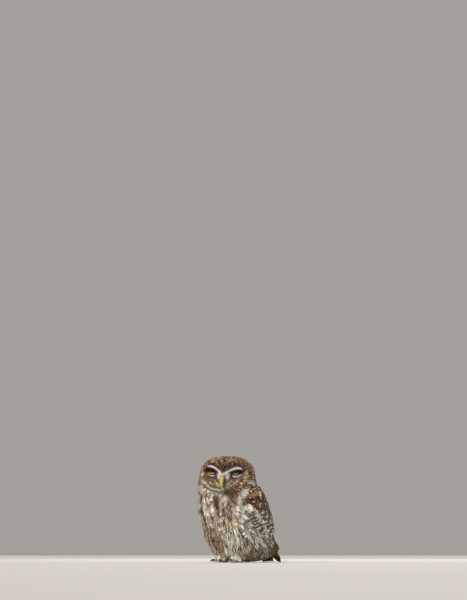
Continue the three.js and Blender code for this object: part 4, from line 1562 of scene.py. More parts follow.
@dataclass
class HeadCoat:
    """The plumage of the head: crown, nape, brows, disc, bristles and throat.

    CERE is the line along which the bill leaves the face, in the head's frame.
    """

    form: OwlForm
    markings: Markings
    chance: Chance

    CERE = ((0.0, -32.6, 6.2), (0.0, -37.4, 3.4))

    def lie(self, points: Array, way: Array) -> Array:
        """The feathers' direction: away from the bill, away from the eyes near them, down at the nape.

        Args:
            points: the roots.
            way: the direction away from the bill there.

        Returns:
            The directions.
        """
        form = self.form
        (left, _, y, z) = form.seen(points)
        side = np.sign(left)
        away = xyz(left, y, z) - xyz(side * form.eye_side, -form.eye_depth, form.eye_rise)
        gaze = aimed(side * math.radians(form.lid_splay), 0)
        round_eye = unit(away - gaze * (away * gaze).sum(-1, keepdims=True)) @ form.head_frame.T
        near = bump(np.linalg.norm(away, axis=-1) - 9, 8) * smooth(-y, 8, 16)
        near = near * fade(z - form.brow_line(left), -2, 1)
        forward = unit(xyz(side * 0.8, -0.5, -0.7)) @ form.head_frame.T
        bristled = bump(np.hypot(left * 0.8, z - 1), 7) * smooth(-y, 14, 20)
        lie = lerp(way, round_eye, near[:, None] * 0.95) - xyz(0, 0, smooth(y, -4, 22) * 1.3)
        lie = lerp(lie, np.array([0, 0, -1.0]), smooth(y, 6, 22)[:, None])
        return unit(lerp(lie, forward, bristled[:, None] * 0.8))

    def plumes(self, points: Array, lie: Array, patch: Array, size: Size, spread: float = 1.0) -> Plumes:
        """Feathers at roots, painted by what lies under their tips, with part of them unmarked.

        Args:
            points: the roots.
            lie: their directions.
            patch: their places on the bake map.
            size: length, width and depth.
            spread: how much their colours vary.

        Returns:
            The feathers.
        """
        paint = self.markings.everywhere(points + lie * np.reshape(size[0], (-1, 1)) * 0.7)
        paint.varied(self.chance, spread)
        paint.pattern[self.chance.uniform(0, 1, len(points)) < 0.42, :2] = 0
        return Plumes.made(points, lie, size, patch, paint)

    def clear(self, points: Array) -> Array:
        """Whether roots stand clear of the eyes' openings and of the bill.

        Args:
            points: the roots.

        Returns:
            True where they do.
        """
        (_, x, y, z) = self.form.seen(points)
        (distance, outward, up) = self.form.lid_place(points)
        (upper, lower) = self.form.lid_edges(outward)
        opening = (distance < 9.9) & (up < upper + 3) & (up > lower - 3) & (np.abs(outward) < 52)
        bill = (x < 2.6) & (y < -25) & (z < 7.5) & (z > -6)
        return ~opening & ~bill

    def is_face(self, points: Array) -> Array:
        """Whether roots are on the face, below the brows and inside the disc's rim.

        Args:
            points: the roots.

        Returns:
            True where they are.
        """
        (left, x, y, z) = self.form.seen(points)
        under = (z < self.form.brow_line(left) + 1.0) | (np.hypot(x * 1.2, z - 13) < 8)
        within = (np.hypot(x - 12, z - 6) < 19) | (x < 12)
        return (y < -12) & under & (z > self.form.throat_line(left) - 0.5) & within

    def line(self, x: Array, z: Array) -> Array:
        """Places on the face over points of a front view of the head."""
        origin = self.form.in_head(x * 0.5, 0, z * 0.5)
        return met(self.form.lidded, origin, unit(self.form.in_head(x, -27, z) - origin))

    def band(self, count: int, reach: tuple[float, float, float], height: Form, rise: tuple[float, float],
             size: Size, fall: float) -> Plumes:
        """A narrow band of feathers along a curve of the face, on both sides.

        Args:
            count: feathers on each side.
            reach: where it starts to the side of the middle, and ends on the bird's left and right.
            height: the curve's height at a distance to the side.
            rise: the band's lower and upper border over the curve.
            size: a feather's length, width and depth.
            fall: how much the feathers turn down from the curve's own direction.

        Returns:
            The feathers.
        """
        lots = []
        for (side, end) in ((1, reach[1]), (-1, reach[2])):
            x = side * self.chance.uniform(reach[0], end, count)
            z = height(x) + self.chance.uniform(*rise, count)
            points = self.line(x, z)
            onward = x + side * 1.5
            ahead = self.line(onward, height(onward) + z - height(x))
            lie = unit(unit(ahead - points) - self.form.head_frame[:, 2] * fall)
            made = self.plumes(points, lie, face_patch(x, z), size, 0.6)
            made.ground = self.markings.head(points).ground
            lots.append(made)
        return Plumes.gathered(lots)

    def bristles(self, count: int) -> Plumes:
        """Fine dark bristles beside the bill, that arch forwards and down past it.

        Args:
            count: how many on each side.

        Returns:
            The bristles.
        """
        (lots, draw) = ([], self.chance.uniform)
        for side in (1, -1):
            (x, z) = (side * draw(3.4, 7.5, count), draw(-3.5, 5.0, count))
            way = xyz(side * draw(-0.1, 0.9, count), draw(-0.9, -0.4, count), draw(-1, -0.5, count))
            paint = Paint.plain(count, Tint.SOOT, Tint.SOOT)
            paint.over(draw(0, 1, count) < 0.45, Tint.CREAM)
            lie = unit(way) @ self.form.head_frame.T
            lots.append(Plumes.made(self.line(x, z), lie, (6.0, 0.32, 0.6), face_patch(x, z), paint))
        return Plumes.gathered(lots)

    def cere(self, points: Array) -> Array:
        """Distance to the face with the bill's root, for the feathers that lie over both."""
        root = Limb(*(self.form.in_head(*place) for place in self.CERE), (3.3, 3.5))
        return np.minimum(self.form.lidded(points), root.distance(points))

    def frontlet(self, count: int) -> Plumes:
        """Small white feathers round the bill's root, that lie forwards along it, furthest on its ridge.

        Args:
            count: how many.

        Returns:
            The feathers.
        """
        (start, end) = (np.array(place, float) for place in self.CERE)
        along = unit(end - start)
        ridge = np.array([0, along[2], -along[1]])
        angle = self.chance.uniform(-1.7, 1.7, count)
        share = lerp(-0.35, 0.4 - 0.24 * np.abs(angle), self.chance.uniform(0, 1, count))
        out = np.sin(angle)[:, None] * (1, 0, 0) + np.cos(angle)[:, None] * ridge
        q = start + (end - start) * share[:, None] + out * 3.4
        paint = Paint.plain(count, Tint.WHITE, Tint.WHITE)
        paint.over(self.chance.uniform(0, 0.4, count), Tint.DISC)
        lie = unit(along + out * 0.15) @ self.form.head_frame.T
        return Plumes.made(self.form.in_head(*q.T), lie, (2.6, 0.7, 0.3), face_patch(q[:, 0], q[:, 2]), paint)

    def lid_rows(self, side: int) -> Plumes:
        """Tiny feathers in rows along the margins of both lids, lying away from the opening.

        A place round an eye is an angle across it and an angle up. A row keeps an even angle from
        the lid's margin, and each feather points to where that angle is a little greater.

        Args:
            side: 1 for the bird's left eye and -1 for its right.

        Returns:
            The feathers.
        """
        form = self.form
        grid = np.meshgrid(np.arange(-84, 85, 3.2), np.arange(0.8, 64, 3.2), (0, 1), indexing="ij")
        draw = self.chance.uniform
        (across, away) = ((a + draw(-w, w, a.shape)).ravel() for (a, w) in zip(grid, (1.5, 1.2)))
        is_upper = grid[2].ravel() == 0
        (upper, lower) = form.lid_edges(across)

        def found(outward: Array, step: Array) -> Array:
            """Places on the lids.

            Args:
                outward: the angle outwards from the lids' middle line, in degrees.
                step: the angle from the margin.

            Returns:
                The points.
            """
            up = np.radians(np.where(is_upper, upper + step, lower - step))
            out = aimed(side * np.radians(outward + form.lid_splay), up) @ form.head_frame.T
            return met(form.lid_ball, form.eye_centre(side), out)

        (points, ahead) = (found(across, away), found(across * 1.05, away + 4))
        keep = (form.plump(points) > -2.2) & (np.abs(away + np.where(is_upper, upper, -lower)) < 80)
        (points, lie) = (points[keep], unit(ahead - points)[keep])
        (left, _, _, z) = form.seen(points)
        return self.plumes(points, lie, face_patch(left, z), (1.8, 0.66, 0.04))

    def hood_size(self, points: Array) -> Size:
        """Length, width and depth on crown, nape and neck: smaller over the bill and at the throat.

        Args:
            points: the roots.

        Returns:
            The three sizes.
        """
        (left, _, y, z) = self.form.seen(points)
        grow = np.maximum(smooth(y, -14, 14), smooth(-z, 2, 12))
        near = (y < -10) * bump(np.hypot(left * 0.9, z - 8), 9) + 0.6 * smooth(-z, 8, 13) * smooth(-y, 6, 16)
        return lerp(5.8, 9.0, grow) - 2.6 * near, lerp(2.7, 4.2, grow) - 1.5 * near, lerp(1.7, 2.8, grow)

    def face_size(self, points: Array) -> Size:
        """Length, width and depth on the face: smallest round the eyes.

        Args:
            points: the roots.

        Returns:
            The three sizes.
        """
        (distance, _, _) = self.form.lid_place(points)
        (left, _, _, z) = self.form.seen(points)
        grow = smooth(distance, 9.5, 20) * (1 - 0.8 * bump(np.hypot(left, z - 7), 8))
        return lerp(2.1, 5.2, grow), lerp(0.7, 1.35, grow), lerp(0.6, 1.3, grow)

    def build(self, material: Material) -> None:
        """Lays the hood in two pieces, and the face in one.

        Args:
            material: the feathers' finish.
        """
        (form, chance) = (self.form, self.chance)
        chart = head_chart(form)
        (points, way, patch) = chart.strewn(1.8, 1.9, chance)
        keep = ~self.is_face(points) & (above_neck(points) > -3) & self.clear(points)
        (points, way, patch) = (points[keep], way[keep], patch[keep])
        hood = self.plumes(points, self.lie(points, way), patch, self.hood_size(points))
        coat = Coat(chance, form.lidded)
        rounded = Vane(6, 5, ragged=0.03, fray=0.07, rounding=0.24)
        forward = form.head_local(points)[:, 1] < 6.5
        for (name, chosen) in (("plumage_crown", forward), ("plumage_nape", ~forward)):
            placed(coat.laid(hood.kept(chosen), rounded).mesh(name, form), material, "plumage_head")
        (points, way, patch) = chart.strewn(0.8, 0.72, chance)
        keep = self.is_face(points) & self.clear(points) & (form.lid_place(points)[0] > 9.8)
        (points, way, patch) = (points[keep], way[keep], patch[keep])
        lots = [
            self.plumes(points, self.lie(points, way), patch, self.face_size(points), 1.8),
            self.band(640, (2.0, 23.5, 19.5), form.brow_line, (-1.1, 0.55), (3.4, 0.8, 1.0), 0.0),
            self.band(300, (0.0, 19.0, 24.0), form.throat_line, (-0.5, 0.4), (2.6, 0.8, 0.8), 0.5),
            self.bristles(70),
        ]
        tuft = Vane(4, 3, tip=0.35, ragged=0.05)
        rows = Plumes.gathered([self.lid_rows(1), self.lid_rows(-1)])
        face = Shape.joined([
            Coat(chance, form.lidded, stray=12).laid(Plumes.gathered(lots), tuft),
            Coat(chance, form.lid_ball, stray=12).laid(rows, tuft),
            Coat(chance, self.cere, proud=0.35, stray=12).laid(self.frontlet(160), tuft),
        ])
        placed(face.mesh("plumage_face", form), material, "plumage_head")


@dataclass
class BodyCoat:
    """The plumage of breast, belly, flanks, back, rump and tail coverts, with the wings' small coverts."""

    form: OwlForm
    markings: Markings
    chance: Chance

    def vent(self, points: Array) -> Array:
        """Distance to the body with the loose plumes that hang from the vent and thighs."""
        hanging = Lobe(np.array([0, 45.0, 18]), (28, 40, 16.0), 2.2)
        return blended([self.form.plump(points), hanging.distance(points)], 7)

    def lot(self, chart: Chart, pitch: float, spacing: float, wanted: Callable[[Array], Array],
            size: Callable[[Array], Size], spread: float = 1.0, top: float = 3.0) -> Plumes:
        """Feathers over a part of the body.

        Args:
            chart: the body's chart.
            pitch: from row to row.
            spacing: from feather to feather.
            wanted: whether roots belong to this part.
            size: length, width and depth at roots.
            spread: how much the feathers' colours vary.
            top: how far over the neck's line they go.

        Returns:
            The feathers.
        """
        (points, way, patch) = chart.strewn(pitch, spacing, self.chance)
        keep = wanted(points) & (above_neck(points) < top)
        (points, way, patch) = (points[keep], way[keep], patch[keep])
        sizes = size(points)
        paint = self.markings.everywhere(points + way * np.reshape(sizes[0], (-1, 1)) * 0.65)
        paint.varied(self.chance, spread)
        return Plumes.made(points, way, sizes, patch, paint)

    def on_wing(self, points: Array) -> Array:
        """Whether roots are on the wing.

        Args:
            points: the roots.

        Returns:
            True where they are.
        """
        (length, across) = self.form.wing_place(points)
        bearing = self.form.body_place(points)[1]
        return (across > 0) & (across < 1) & (length > -0.06) & (length < 0.95) & (bearing > 50)

    def is_breast(self, points: Array) -> Array:
        """Whether roots are on breast, belly or flank."""
        (_, degrees) = self.form.body_place(points)
        return ~self.on_wing(points) & (degrees < 96) & (points[:, 2] > 8)

    def is_back(self, points: Array) -> Array:
        """Whether roots are on mantle, back or rump."""
        (along, degrees) = self.form.body_place(points)
        return ~self.on_wing(points) & (degrees >= 96) & (along < 99)

    def is_covert(self, points: Array) -> Array:
        """Whether roots are on the wing's small coverts."""
        (length, across) = self.form.wing_place(points)
        return self.on_wing(points) & ((length < 0.27) | (across > 0.8))

    def is_flank(self, points: Array) -> Array:
        """Whether roots are where the long loose plumes grow."""
        (outward, height) = (np.abs(points[:, 0]), points[:, 2])
        return (outward > 12 + 15 * smooth(height, 42, 72)) & (height < 79) & (height > 16)

    def breast_size(self, points: Array) -> Size:
        """Length, width and depth: smaller at the neck, long on the flanks.

        Args:
            points: the roots.

        Returns:
            The three sizes.
        """
        (_, degrees) = self.form.body_place(points)
        z = points[:, 2]
        (neck, low) = (smooth(z, 76, 98), fade(z, 14, 28))
        long = lerp(14.5, 9.0, neck) + 4 * smooth(degrees, 30, 48) * fade(z, 62, 80)
        width = lerp(lerp(6.4, 4.6, neck), 4.4, low)
        return lerp(long, 10, low), width, lerp(4.4, 3.0, np.maximum(low, neck))

    def wisp_size(self, points: Array) -> Size:
        """Length, width and depth of the loose barbs that stand out among the breast's feathers."""
        return self.breast_size(points)[0] * 0.55, 0.55, 1.0

    def back_size(self, points: Array) -> Size:
        """Length, width and depth on the back, the same everywhere."""
        return 13.0, 7.6, 3.6

    def covert_size(self, points: Array) -> Size:
        """Length, width and depth of the wing's small coverts, larger further along it."""
        grow = smooth(self.form.wing_place(points)[0], 0, 0.25)
        return lerp(6.5, 10.0, grow), lerp(4.2, 6.2, grow), 3.0

    def flank(self, side: int) -> Plumes:
        """Long loose feathers from under the wrist, that lie back over the wing's lower edge.

        Args:
            side: 1 for the bird's left and -1 for its right.

        Returns:
            The feathers.
        """
        draw = self.chance.uniform
        (along, degrees) = np.meshgrid(np.arange(-6, 78, 4.4), np.arange(6, 76, 5.4), indexing="ij")
        degrees = degrees + 2.6 * (np.arange(len(along))[:, None] % 2) + 0.16 * np.maximum(along - 30, 0)
        (along, degrees) = (a.ravel() + draw(-1.4, 1.4, a.size) for a in (along, degrees))
        angle = np.radians(degrees)[:, None]
        out = self.form.bellyward * np.cos(angle) + np.array([side, 0, 0]) * np.sin(angle)
        points = met(self.form.plump, self.form.on_axis(along), out)
        (_, across) = self.form.wing_place(points)
        keep = (across < 0.12) & self.is_flank(points) & (draw(0, 1, len(points)) < 0.86)
        (points, along, degrees) = (points[keep], along[keep], degrees[keep])
        (x, y, z) = points.T
        (count, outward) = (len(points), np.abs(x))
        back = lerp(0.12, lerp(0.8, 1.8, smooth(z, 42, 64)), smooth(outward, 16, 38))
        paint = Paint.plain(count, Tint.WHITE, Tint.BREAST_BROWN, 0.13)
        paint.over(draw(0, 1, count) < 0.25, Tint.PALE_GREY, Tint.BREAST_BROWN, 0.45)
        barred = (draw(0, 1, count) < 0.35) & (z > 46) & (outward > 30)
        paint.over(barred, None, Tint.GREY_BROWN, (0.06, 0, 4.6))
        paint.over(fade(z, 24, 36) * smooth(outward, 22, 30) * 0.85, Tint.DISC, Tint.GREY_BROWN, 0.34)
        edge = fade(z, 40, 60) * smooth(-x * 0.8 - y * 0.6, 14, 26)
        paint.over(edge * (draw(0, 1, count) < 0.8), Tint.BREAST_BROWN, Tint.CREAM, 0.3)
        paint.over(fade(z, 22, 42) * draw(0, 1, count) * 0.8, Tint.BELLY)
        paint.over(fade(z, 20, 30) * (outward < 22), Tint.WHITE, Tint.BUFF, 0.1)
        paint.varied(self.chance)
        long = lerp(16, 25, smooth(-z, -66, -46)) * draw(0.85, 1.15, count)
        patch = np.stack([0.75 + side * (0.12 + 0.001 * degrees), 0.1 + 0.008 * along], -1)
        return Plumes.made(points, unit(xyz(0, back, -1)), (long, 6.2, 2.6), patch, paint)

    def barbs(self, plumes: Plumes, times: int) -> Plumes:
        """Thin loose strands beside larger feathers, in their ground or mark colours.

        Args:
            plumes: the feathers.
            times: how many strands beside each.

        Returns:
            The strands.
        """
        strands = plumes.kept(np.repeat(np.arange(len(plumes.roots)), times))
        count = len(strands.roots)
        strands.roots = strands.roots + self.chance.uniform(-2.6, 2.6, (count, 3))
        strands.length = strands.length * self.chance.uniform(0.5, 0.95, count)
        strands.width = np.full(count, 0.7)
        marked = self.chance.uniform(0, 1, count) < 0.3
        strands.ground[marked] = strands.mark[marked]
        strands.pattern = strands.pattern * 0
        return strands

    def hanging(self) -> Plumes:
        """Soft plumes of thighs and vent, that hang back and down between the legs and the tail.

        Returns:
            The plumes.
        """
        grid = np.meshgrid(np.arange(10, 73, 3.4), np.radians(np.arange(-92, 93, 8)), indexing="ij")
        (y, turn) = (a.ravel() + self.chance.uniform(-w, w, a.size) for (a, w) in zip(grid, (1.4, 0.08)))
        points = met(self.vent, xyz(0, y, 26), xyz(np.sin(turn), 0, -np.cos(turn)))
        paint = Paint.plain(len(points), Tint.PALE_GREY, Tint.GREY_BROWN, 0.24)
        paint.over(smooth(np.abs(turn), 0.7, 1.2), Tint.DISC, Tint.BREAST_BROWN, 0.36)
        # Painted shade: the plumes darken towards the tail, where its feathers shade them.
        paint.over(smooth(y, 54, 70), Tint.WING_DARK, Tint.GREY_BROWN, 0.2)
        paint.varied(self.chance, 1.5)
        patch = np.stack([0.75 + 0.05 * turn, 0.2 + 0.01 * y], -1)
        return Plumes.made(points, unit(xyz(0.15 * np.sin(turn), 0.8, -0.5)), (15.0, 5.6, 3.5), patch, paint)

    def build(self, material: Material) -> None:
        """Lays all of it in rows from the neck to the tail, in pieces by region.

        Args:
            material: the feathers' finish.
        """
        (form, chance) = (self.form, self.chance)
        chart = body_chart(form)
        coat = Coat(chance, form.plump, stray=11)
        (broad, narrow) = (Vane(6, columns, ragged=0.03, fray=0.08) for columns in (7, 5))
        breast = self.lot(chart, 3.3, 3.4, self.is_breast, self.breast_size, 1.2)
        placed(coat.laid(breast, broad).mesh("plumage_breast", form), material, "plumage_body")
        wisps = self.lot(chart, 1.5, 1.5, self.is_breast, self.wisp_size, 1.8, 8.0)
        wisps = wisps.kept(~self.is_flank(wisps.roots) | (chance.uniform(0, 1, len(wisps.roots)) < 0.22))
        paler = chance.uniform(0.3, 0.75, len(wisps.roots)) < wisps.pattern[:, 0]
        wisps.ground[paler] = wisps.mark[paler]
        wisps.pattern[:] = 0
        wispy = Coat(chance, form.plump, stray=20, proud=1.0).laid(wisps, Vane(4, 3, tip=0.2, ragged=0.05))
        placed(wispy.mesh("plumage_wisps", form), material, "plumage_body")
        back = self.lot(chart, 4.4, 4.8, self.is_back, self.back_size)
        back.pattern[chance.uniform(0, 1, len(back.roots)) < 0.4, 1] = 0
        placed(coat.laid(back, broad).mesh("plumage_back", form), material, "plumage_body")
        coverts = self.lot(chart, 2.9, 3.2, self.is_covert, self.covert_size)
        spots = chance.uniform(0, 1, len(coverts.roots))
        coverts.pattern[:, 1] *= np.select([spots < 0.68, spots < 0.9], [0.0, 0.9], 1.9)
        placed(coat.laid(coverts, narrow).mesh("plumage_coverts", form), material, "plumage_wing")
        flanks = Plumes.gathered([self.flank(1), self.flank(-1)])
        loose = Coat(chance, self.vent, proud=2.4, curl=1.2).laid(flanks, Vane(9, 9, ragged=0.02, fray=0.045))
        placed(loose.mesh("plumage_flank", form), material, "plumage_body")
        strands = Coat(chance, self.vent, stray=15, proud=3.0, curl=1.2)
        strands = strands.laid(self.barbs(flanks, 7), Vane(6, 3, tip=0.2, ragged=0.04))
        placed(strands.mesh("plumage_flank_wisps", form), material, "plumage_body")
        soft = Coat(chance, self.vent, stray=14, proud=0.5, floor=0.6).laid(self.hanging(), broad)
        placed(soft.mesh("plumage_vent", form), material, "plumage_body")


@dataclass(frozen=True)
class Quill(Vane):
    """The pattern of a flight feather or long covert: parallel sides, a rounded tip and a raised shaft."""

    rows: int = 15
    columns: int = 9
    ragged: float = 0.015
    rounding: float = 0.06
    camber: float = 0.1
    thickness: float = 0.3

    OUTLINE = ((0, 0.5), (0.33, 0.95), (0.7, 1), (0.9, 0.8), (1, 0.3))

    def breadth(self, share: Array) -> Array:
        """Half-width as a share of the greatest, from a smooth reading of the outline."""
        return reading(self.OUTLINE, np.clip(share, 0, 1))

    def relief(self, x: Array, under: Array) -> Array:
        """Height over the feather's plane: the vault, the shaft, and the under face below both."""
        return 0.15 * (1 - x**2) + 0.22 * fade(np.abs(x), 0.0, 0.25) - self.thickness * under


@dataclass(frozen=True)
class Tier:
    """A row of long feathers on the wing, from its lower edge up."""

    count: int
    roots: tuple[tuple[float, float], tuple[float, float]]
    tips: tuple[tuple[float, float], tuple[float, float]]
    width: float
    heights: tuple[float, float, float]
    bulge: float
    ground: Tint
    mark: Tint
    pattern: Pattern
    low: Pattern = (0, 0, 4.4)
    plain: float = 0.0
    tilt: float = 0.7


@dataclass
class Wing:
    """One folded wing: its flight feathers and larger coverts in tiers over the body."""

    form: OwlForm
    side: int
    chance: Chance
    height: float = 78.0

    TIERS = (
        Tier(9, ((0.34, 0.10), (0.36, 0.88)), ((0.88, 0.1), (0.84, 0.9)), 0.17, (1.2, 1.7, 1.9), 0.12,
             Tint.WING_DARK, Tint.BUFF, (0, 0, 5.5)),
        Tier(10, ((0.26, 0.08), (0.34, 0.9)), ((0.66, 0.06), (0.8, 0.92)), 0.17, (2.0, 3.6, 3.7), 0.0,
             Tint.WING, Tint.PALE_GREY, (0, 0, 5.0), (0, 0, 5.6), 0.3),
        Tier(11, ((0.2, 0.08), (0.28, 0.9)), ((0.46, 0.06), (0.58, 0.92)), 0.15, (2.2, 4.3, 5.0), 0.0,
             Tint.WING, Tint.PALE_GREY, (0, 1.7, 0), (0, 0, 4.6), 0.5),
        Tier(12, ((0.13, 0.07), (0.2, 0.92)), ((0.34, 0.06), (0.44, 0.94)), 0.13, (2.2, 4.6, 5.6), 0.0,
             Tint.MANTLE, Tint.WHITE, (0, 1.5, 0), (0, 0, 4.8), 0.5),
    )

    def over_wing(self, along: Array, across: Array, height: Array) -> Array:
        """Points over the wing, by rays square to the body's axis.

        The bearing of a ray goes evenly from the wing's lower edge to its upper edge as across goes
        from 0 to 1, and the axis point from the wrist to the tip as along does.

        Args:
            along: the place from wrist to tip.
            across: the place from the lower to the upper edge.
            height: how far over the body.

        Returns:
            The points.
        """
        angle = np.radians(lerp(reading(WING_LOW, along), reading(WING_HIGH, along), across))[..., None]
        out = self.form.bellyward * np.cos(angle) + np.array([self.side, 0, 0]) * np.sin(angle)
        origin = self.form.on_axis(WING_START + along * self.form.wing_reach)
        return met(self.form.envelope, origin, out, height)

    def tier(self, tier: Tier, first: int, cells: int) -> Shape:
        """The feathers of a tier.

        Args:
            tier: its sizes and colours.
            first: the number of its first feather, for its cell on the bake map.
            cells: how many cells the map has each way.

        Returns:
            All of them as one surface.
        """
        (quill, draw) = (Quill(), self.chance.uniform)
        (share, x, under) = quill.points(tier.count, self.chance)
        t = np.linspace(0, 1, tier.count)[:, None]
        (root, tip) = (lerp(*np.array(ends)[:, :, None, None], t) for ends in (tier.roots, tier.tips))
        out = tip[0] + tier.bulge * np.sin(math.pi * t) + 0.022 * draw(-1, 1, t.shape)
        along = lerp(root[0], out, share)
        across = lerp(root[1], tip[1], share) - self.side * x * tier.width / 2
        (low, middle, high) = tier.heights
        rise = np.where(share < 0.33, lerp(low, middle, share * 3), lerp(middle, high, (share - 0.33) / 0.67))
        height = rise + self.side * tier.tilt * x * np.minimum(1, share * 3) + quill.relief(x, under)
        points = self.over_wing(along, across, height).reshape(-1, 3)
        points[:, 2] = np.maximum(points[:, 2], 0.4)
        paint = Paint.plain(tier.count, tier.ground, tier.mark, tier.pattern)
        paint.over(draw(0, 0.5, tier.count), Tint.GREY_BROWN)
        paint.pattern[draw(0, 1, tier.count) < tier.plain] = 0
        paint.over(fade(t[:, 0], 0.25, 0.4), None, Tint.PALE_GREY, tier.low)
        paint.varied(self.chance)
        bars = paint.pattern[:, 2]
        paint.pattern[:, 2] = np.where(bars > 1, bars * draw(0.8, 1.2, tier.count), 0)
        number = first + np.arange(tier.count)
        patch = (np.stack([number % cells, number // cells], -1) + 0.5) / cells
        long = (out - root[0]) * self.form.wing_reach
        spans = xyz(x * tier.width * self.height / 2, share * long, draw(0, 1, t.shape))
        return dressed(paint, patch, quill, points, np.stack([x, share], -1), spans, 0.85 / cells)

    def build(self, material: Material) -> None:
        """Lays the tiers, the flight feathers first.

        Args:
            material: the feathers' finish.
        """
        cells = math.ceil(math.sqrt(sum(tier.count for tier in self.TIERS)))
        firsts = np.cumsum([0] + [tier.count for tier in self.TIERS])
        shape = Shape.joined([self.tier(tier, first, cells) for (tier, first) in zip(self.TIERS, firsts)])
        word = "left" if self.side > 0 else "right"
        placed(shape.mesh(f"plumage_wing_{word}", self.form), material, "plumage_wing", f"wing_{word}")


@dataclass
class Tail:
    """The closed fan of twelve tail feathers, the middle pair on top."""

    form: OwlForm
    chance: Chance
    pairs: int = 6
    root: float = 79.0
    width: float = 11.0
    step: float = 0.85
    top: float = 3.0

    def build(self, material: Material) -> None:
        """Lays each feather in the fan's plane, a little lower and further out than the one before.

        Args:
            material: the feathers' finish.
        """
        quill = Quill(rows=18)
        count = 2 * self.pairs
        (share, x, under) = quill.points(count, self.chance)
        pair = np.repeat(np.arange(self.pairs), 2)[:, None]
        side = np.tile((1, -1), self.pairs)[:, None]
        reach = self.form.tail_length - 11 - 0.8 * pair
        fan = 3.8 + pair * lerp(1.4, 2.2, share)
        across = side * fan + x * self.width / 2
        top = self.top + self.step * ((pair == 0) & (side > 0))
        lift = top - self.step * pair - 0.9 * (fan / 10) ** 1.5 + quill.relief(x, under)
        points = self.form.on_axis(self.root + share * reach, -lift) + across[..., None] * (1, 0, 0)
        points = points.reshape(-1, 3)
        points[:, 2] = np.maximum(points[:, 2], 0.3)
        paint = Paint.plain(count, Tint.WING, Tint.BUFF, (0, 0, 4.2))
        paint.varied(self.chance)
        patch = np.stack([(np.arange(count) + 0.5) / count, np.full(count, 0.5)], -1)
        spans = xyz(x * self.width / 2, share * reach, self.chance.uniform(0, 0.2, (count, 1)))
        place = np.stack([x, share], -1)
        shape = dressed(paint, patch, quill, points, place, spans, (0.85 / count, 0.9))
        placed(shape.mesh("plumage_tail", self.form), material, "plumage_tail", "tail")


